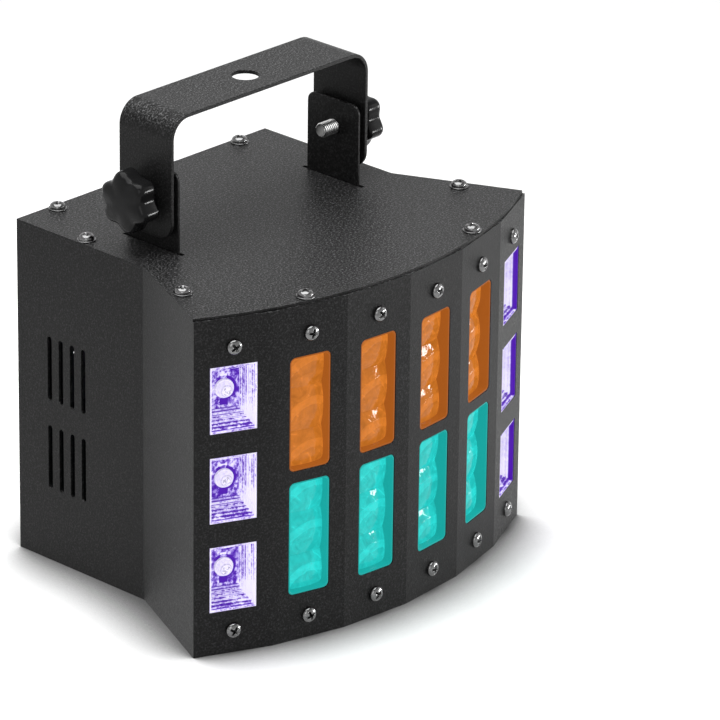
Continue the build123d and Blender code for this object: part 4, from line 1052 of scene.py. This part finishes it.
def lens_mesh(name, facet, row):
    """A strip of bulging cells in a pan, with a flange behind the panel and a collar in the window."""
    lens = sizes("lens")
    tuck = 0.4 * MM
    width, height = lens.mouth_width + tuck, lens.mouth_height + tuck
    across, upward = round(width / lens.step), round(height / lens.step)
    slab = Shell()
    places, rows = [], []
    for j in range(upward + 1):
        y = -height / 2 + height * j / upward
        cell = max(-1, min(1, round(y / lens.cell_height)))
        cell_y = y - cell * lens.cell_height
        line = []
        for i in range(across + 1):
            x = -width / 2 + width * i / across
            drop = lens.radius - math.sqrt(lens.radius ** 2 - x * x - cell_y * cell_y)
            z = -lens.crown_depth - drop
            line.append(slab.loop([(x, y, z)])[0])
            places.append((x / MM, cell_y / MM, -z / MM))
        rows.append(line)
    for low, high in zip(rows, rows[1:]):
        for i in range(across):
            slab.faces.append((low[i], low[i + 1], high[i + 1], high[i]))
    rim = rows[0][:-1] + [line[-1] for line in rows[:-1]]
    rim += rows[-1][:0:-1] + [line[0] for line in rows[:0:-1]]
    under = slab.loop((slab.points[i][0], slab.points[i][1], -lens.back) for i in rim)
    slab.band(rim, under)
    slab.faces.append(tuple(under))
    mesh = slab.mesh(name)
    extra = len(mesh.vertices) - len(places)
    set_attribute(mesh, "cell_place", places + [(0.0, 0.0, 8.0)] * extra)
    set_attribute(mesh, "wall", [0.0] * len(mesh.vertices))
    edge = pan_rim().mesh(name + "_rim")
    set_attribute(edge, "wall", [1.0] * len(edge.vertices))
    mesh = join_meshes(name, [mesh, edge])
    centre = lens.high_centre if row == "amber" else lens.low_centre
    mesh.transform(facet_matrix(facet) @ Matrix.Translation((0.0, centre, 0.0)))
    smooth(mesh, 25.0)
    return mesh


def pan_rim():
    """The closed ring of a strip: its collar, its flange and its pan's wall."""
    lens = sizes("lens")
    soft = 0.25 * MM
    behind = lens.sheet + lens.flange
    section = [(soft, lens.set_back), (lens.collar - soft, lens.set_back),
               (lens.collar, lens.set_back + soft), (lens.collar, lens.sheet),
               (lens.collar + lens.lap, lens.sheet), (lens.collar + lens.lap, behind),
               (lens.wall, behind), (lens.wall, lens.back)]
    rows = 15
    for i in range(rows + 1):
        section.append((0.0, lens.back + (lens.set_back + soft - lens.back) * i / rows))
    shell = Shell()
    loops = [shell.loop(rounded_loop(lens.mouth_width + 2 * out, lens.mouth_height + 2 * out,
                                     lens.mouth_corner + out, -depth)) for out, depth in section]
    for first, second in zip(loops, loops[1:] + loops[:1]):
        shell.band(first, second)
    return shell


def mould_lenses():
    """Eight lens strips: turquoise below, amber above."""
    for facet in range(1, sizes("casing").facet_count - 1):
        for row in ("turquoise", "amber"):
            node = f"{row}_lens_{facet}"
            add_piece(node + "_cells", lens_mesh(node + "_cells", facet, row), row + "_lens", "casing", node)


# Stepped reflectors and lamps
CUP_HALF_WIDTH, CUP_HALF_HEIGHT, CUP_DEPTH = 11.35 * MM, 16.65 * MM, 14.0 * MM


def cup_centres(side):
    """The heights of the three cups' middles, read from the lamps in them."""
    return sorted(sum(p.z for p in points) / len(points) for points in solids(side + "_uv_lamps"))


def plate_reflectors():
    """The stepped cups again, with each point's place in its cup, and lamps with smooth domes."""
    for side, facet in violet_sides():
        mesh = mesh_of(joined(side + "_uv_reflector"), side + "_stepped_cups")
        inverse = facet_matrix(facet).inverted()
        centres = cup_centres(side)
        places = []
        for vertex in mesh.vertices:
            x, y, z = inverse @ vertex.co
            middle = min(centres, key=lambda c: abs(c - y))
            places.append((x / CUP_HALF_WIDTH, (y - middle) / CUP_HALF_HEIGHT, -z / CUP_DEPTH))
        set_attribute(mesh, "cup_place", places)
        set_attribute(mesh, "deep_side", [float(facet > 0)] * len(places))
        smooth(mesh, 25.0)
        add_piece(side + "_stepped_cups", mesh, "violet_reflector", "casing", side + "_uv_reflector")
        lamps = []
        outward = facet_outward(facet)
        for points in solids(side + "_uv_lamps"):
            base = ends_along(points, -outward)
            lamps.append(domed_lamp(base, outward, (ends_along(points, outward) - base).length))
        mesh = join_meshes(side + "_domed_lamps", lamps)
        smooth(mesh, 40.0)
        add_piece(side + "_domed_lamps", mesh, "violet_lamp", "casing", side + "_uv_lamps")


def domed_lamp(base, outward, height):
    """A lamp: a stepped foot, a collar and a smooth dome."""
    foot, dome, collar, steps = 5.0 * MM, 4.3 * MM, 1.2 * MM, 14
    profile = [(foot, 0.0), (foot, 0.9 * MM), (foot - 0.25 * MM, 1.15 * MM), (dome, collar)]
    for i in range(1, steps):
        turn = math.pi / 2 * i / steps
        profile.append((dome * math.cos(turn), collar + (height - collar) * math.sin(turn)))
    shell = Shell()
    shell.lathe(profile, 48, 0.0, height)
    mesh = shell.mesh("lamp")
    set_attribute(mesh, "reach", [math.hypot(point.co.x, point.co.y) / foot for point in mesh.vertices])
    mesh.transform(standing(base, outward))
    return mesh


# Rear fittings and inner parts
def segment_digit(shell, place, height):
    """The seven bars of one digit, drawn on the display's face."""
    width, thick = height * 0.5, height * 0.09
    bars = [((0, 0), (width, 0)), ((0, height / 2), (width, height / 2)), ((0, height), (width, height)),
            ((0, 0), (0, height / 2)), ((width, 0), (width, height / 2)),
            ((0, height / 2), (0, height)), ((width, height / 2), (width, height))]
    for (x0, y0), (x1, y1) in bars:
        along = Vector((x1 - x0, y1 - y0))
        unit = along.normalized()
        cross = Vector((-unit.y, unit.x)) * thick / 2
        start, end = Vector((x0, y0)) + unit * thick * 0.65, Vector((x1, y1)) - unit * thick * 0.65
        points = [start - unit * thick / 2, start + cross, end + cross, end + unit * thick / 2, end - cross,
                  start - cross]
        low, high = (shell.loop((place.x - p.x, place.y + lift, place.z + p.y) for p in points)
                     for lift in (0.0, 0.05 * MM))
        shell.band(low, high)
        shell.faces += [tuple(low), tuple(high)]


def fit_display():
    """Four unlit digits on the display's face."""
    low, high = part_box("digit_display")
    shell = Shell()
    digit = (high.z - low.z) * 0.68
    pitch = (high.x - low.x) / 4.4
    for i in range(4):
        x = (low.x + high.x) / 2 + (1.5 - i) * pitch + digit * 0.25
        segment_digit(shell, Vector((x, high.y, (low.z + high.z - digit) / 2)), digit)
    finish = Finish("display_bars")
    dim = finish.noise(finish.place(), 0.003)
    base = finish.mix(dim, (0.2, 0.05, 0.045), (0.3, 0.09, 0.08))
    mesh = shell.mesh("display_digits")
    mesh.materials.append(finish.shine(Base_Color=base, Roughness=0.3 + dim * 0.1))
    piece = add_object("display_digits", mesh)
    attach(piece, "casing")


def finish_cad_nodes():
    """Gives every CAD node the finish of its material slot."""
    for part in frame["record"]["subparts"]:
        name = part["node"]
        for slot in nodes[name].material_slots:
            slot.material = finishes.get(name, finishes[part["material_slot"]])


# Stage
def add_lamp(name, place, aim, size, power):
    """A soft square lamp that looks at a point; returns it."""
    data = bpy.data.lights.new(name, "AREA")
    data.shape = "RECTANGLE"
    data.size, data.size_y = size
    data.energy = power
    lamp = add_object(name, data)
    lamp.location = place
    lamp.rotation_euler = (Vector(aim) - Vector(place)).to_track_quat("-Z", "Y").to_euler()
    return lamp


def rays(tree):
    """The tests for rays from the camera, and for mirrored and refracted ones."""
    return tree.several("ShaderNodeLightPath", ("Is Camera Ray", "Is Glossy Ray", "Is Transmission Ray"))


def floor_finish():
    """A pale floor that keeps the lamps' soft shadow, has a painted contact shadow near the object, and runs
    into the white background.
    """
    finish = Finish("pale_floor")
    place = finish.place()
    x, y = finish.parts(place)[:2]
    far = reach_of(x, y).ramp(0.35, 0.9)
    tint = sizes("studio").floor_colour
    base = finish.mix(finish.noise(place, 0.02), [c * 0.985 for c in tint], tint)
    # Painted shadow: for camera rays the floor is darkened where an occlusion test finds the object close by.
    open_sky = finish.add("ShaderNodeAmbientOcclusion", {"samples": 16}, {"Distance": 0.052}, output="AO")
    straight, mirrored, refracted = rays(finish)
    painted_shadow_lightness = open_sky.ramp(0.4, 0.97).at_least(1.0 - straight)
    base = finish.mix(painted_shadow_lightness, [c * 0.12 for c in tint], base)
    plain = finish.add("ShaderNodeBsdfDiffuse", None, {"Color": base})
    glow = straight.at_least(mirrored).at_least(refracted) * painted_shadow_lightness * 0.12
    lift = finish.add("ShaderNodeEmission", None, {"Color": WHITE, "Strength": glow})
    near = finish.add("ShaderNodeAddShader", None, {0: plain, 1: lift})
    white = finish.add("ShaderNodeEmission", None, {"Color": WHITE, "Strength": 1.0})
    edge = finish.add("ShaderNodeMixShader", None, {0: far, 1: near, 2: white})
    finish.add("ShaderNodeOutputMaterial", None, {"Surface": edge})
    return finish.material


def camera_matrix():
    """The camera's frame: x to its right, y up and z back from its aim."""
    studio = sizes("studio")
    cos, sin = math.cos, math.sin
    az, el, roll = studio.azimuth, studio.elevation, studio.roll
    back = Vector((sin(az) * cos(el), -cos(az) * cos(el), sin(el)))
    right = Vector((cos(az), sin(az), 0.0))
    right = right * cos(roll) + back.cross(right) * sin(roll)
    turned = Matrix((right, back.cross(right), back)).transposed().to_4x4()
    return Matrix.Translation(Vector(studio.aim) + back * studio.distance) @ turned


def set_stage():
    """Floor, world, lamps and camera."""
    scene = bpy.context.scene
    studio = sizes("studio")
    shell = Shell()
    shell.faces.append(tuple(shell.loop([(-8, -8, 0), (8, -8, 0), (8, 8, 0), (-8, 8, 0)])))
    mesh = shell.mesh("floor")
    mesh.materials.append(floor_finish())
    floor = add_object("floor", mesh)
    world = bpy.data.worlds.new("studio")
    world.use_nodes = True
    scene.world = world
    sky = Nodes(world.node_tree)
    straight, mirrored, refracted = rays(sky)
    direction = sky.add("ShaderNodeTexCoord", output="Generated")
    height = sky.several("ShaderNodeSeparateXYZ", "Z", {0: direction})[0]
    ceiling = 1.0 - height.ramp(0.4, 0.85) * 0.7
    strength = straight.at_least(refracted).at_least(mirrored * ceiling).at_least(0.38)
    light = sky.add("ShaderNodeBackground", None, {"Color": WHITE, "Strength": strength})
    sky.add("ShaderNodeOutputWorld", None, {"Surface": light})
    middle = (0.0, 0.0, 0.1)
    add_lamp("top softbox", (-0.1, 0.1, 1.4), middle, (1.4, 1.4), 30.0)
    add_lamp("left softbox", (-1.5, -1.0, 0.9), middle, (0.8, 1.2), 6.0)
    add_lamp("right softbox", (1.5, -1.1, 0.7), middle, (0.5, 1.2), 3.2)
    for name, place in (("right sparkle", (1.24, -0.71, 0.1)), ("front sparkle", (0.89, -1.1, 0.1))):
        sparkle = add_lamp(name, place, (0.0, -0.06, 0.1), (0.26, 0.18), 8.5)
        sparkle.visible_diffuse = False
        sparkle.visible_camera = False
    data = bpy.data.cameras.new("camera")
    data.lens = studio.focal
    data.clip_end = 20.0
    camera = add_object("camera", data)
    camera.matrix_world = camera_matrix()
    scene.camera = camera
    scene.view_settings.view_transform = "Standard"


# Operators, panel and registration
class EFFECT_LIGHT_OT_make_finishes(bpy.types.Operator):
    """Mixes every finish of the light."""

    bl_idname = "effect_light.make_finishes"
    bl_label = "Mix the finishes"
    bl_options = {"REGISTER", "UNDO"}

    def execute(self, context):
        make_finishes()
        return {"FINISHED"}


class EFFECT_LIGHT_OT_finish_cad_nodes(bpy.types.Operator):
    """Gives each CAD node its finish."""

    bl_idname = "effect_light.finish_cad_nodes"
    bl_label = "Finish the CAD nodes"
    bl_options = {"REGISTER", "UNDO"}

    def execute(self, context):
        finish_cad_nodes()
        return {"FINISHED"}


class EFFECT_LIGHT_OT_coat_sheets(bpy.types.Operator):
    """Makes the coated sheets with soft edges."""

    bl_idname = "effect_light.coat_sheets"
    bl_label = "Coat the sheets"
    bl_options = {"REGISTER", "UNDO"}

    def execute(self, context):
        coat_sheets()
        return {"FINISHED"}


class EFFECT_LIGHT_OT_fit_screws(bpy.types.Operator):
    """Makes the cross-head screws and their washers."""

    bl_idname = "effect_light.fit_screws"
    bl_label = "Fit the screws"
    bl_options = {"REGISTER", "UNDO"}

    def execute(self, context):
        fit_screws()
        return {"FINISHED"}


class EFFECT_LIGHT_OT_make_knobs(bpy.types.Operator):
    """Makes the star knobs and their threaded studs."""

    bl_idname = "effect_light.make_knobs"
    bl_label = "Make the knobs"
    bl_options = {"REGISTER", "UNDO"}

    def execute(self, context):
        make_knobs()
        return {"FINISHED"}


class EFFECT_LIGHT_OT_mould_lenses(bpy.types.Operator):
    """Makes the eight lens strips."""

    bl_idname = "effect_light.mould_lenses"
    bl_label = "Mould the lens strips"
    bl_options = {"REGISTER", "UNDO"}

    def execute(self, context):
        mould_lenses()
        return {"FINISHED"}


class EFFECT_LIGHT_OT_plate_reflectors(bpy.types.Operator):
    """Makes the stepped cups and their domed lamps."""

    bl_idname = "effect_light.plate_reflectors"
    bl_label = "Plate the reflectors"
    bl_options = {"REGISTER", "UNDO"}

    def execute(self, context):
        plate_reflectors()
        return {"FINISHED"}


class EFFECT_LIGHT_OT_fit_display(bpy.types.Operator):
    """Makes the digits of the display."""

    bl_idname = "effect_light.fit_display"
    bl_label = "Fit the display"
    bl_options = {"REGISTER", "UNDO"}

    def execute(self, context):
        fit_display()
        return {"FINISHED"}


class EFFECT_LIGHT_OT_set_stage(bpy.types.Operator):
    """Makes the floor, the lamps and the camera."""

    bl_idname = "effect_light.set_stage"
    bl_label = "Set the stage"
    bl_options = {"REGISTER", "UNDO"}

    def execute(self, context):
        set_stage()
        return {"FINISHED"}


steps = [
    EFFECT_LIGHT_OT_make_finishes,
    EFFECT_LIGHT_OT_finish_cad_nodes,
    EFFECT_LIGHT_OT_coat_sheets,
    EFFECT_LIGHT_OT_fit_screws,
    EFFECT_LIGHT_OT_make_knobs,
    EFFECT_LIGHT_OT_mould_lenses,
    EFFECT_LIGHT_OT_plate_reflectors,
    EFFECT_LIGHT_OT_fit_display,
    EFFECT_LIGHT_OT_set_stage,
]


class EFFECT_LIGHT_PT_steps(bpy.types.Panel):
    """The steps that make the light, in order."""

    bl_label = "Effect Light"
    bl_space_type = "VIEW_3D"
    bl_region_type = "UI"
    bl_category = "Effect Light"

    def draw(self, context):
        for made in steps:
            self.layout.operator(made.bl_idname)


groups = {"casing": CasingSizes, "coat": CoatLooks, "lens": LensSizes, "violet": VioletLooks,
          "screws": ScrewSizes, "knob": KnobSizes, "studio": StudioSizes}


def register():
    for made in [*groups.values(), *steps, EFFECT_LIGHT_PT_steps]:
        bpy.utils.register_class(made)
    for name, group in groups.items():
        setattr(bpy.types.Scene, "effect_light_" + name, bpy.props.PointerProperty(type=group))


def unregister():
    for name in groups:
        delattr(bpy.types.Scene, "effect_light_" + name)
    for made in [EFFECT_LIGHT_PT_steps, *reversed(steps), *reversed(list(groups.values()))]:
        bpy.utils.unregister_class(made)


def main():
    """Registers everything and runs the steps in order."""
    register()
    for made in steps:
        group, word = made.bl_idname.split(".")
        getattr(getattr(bpy.ops, group), word)()


if __name__ == "__main__":
    main()
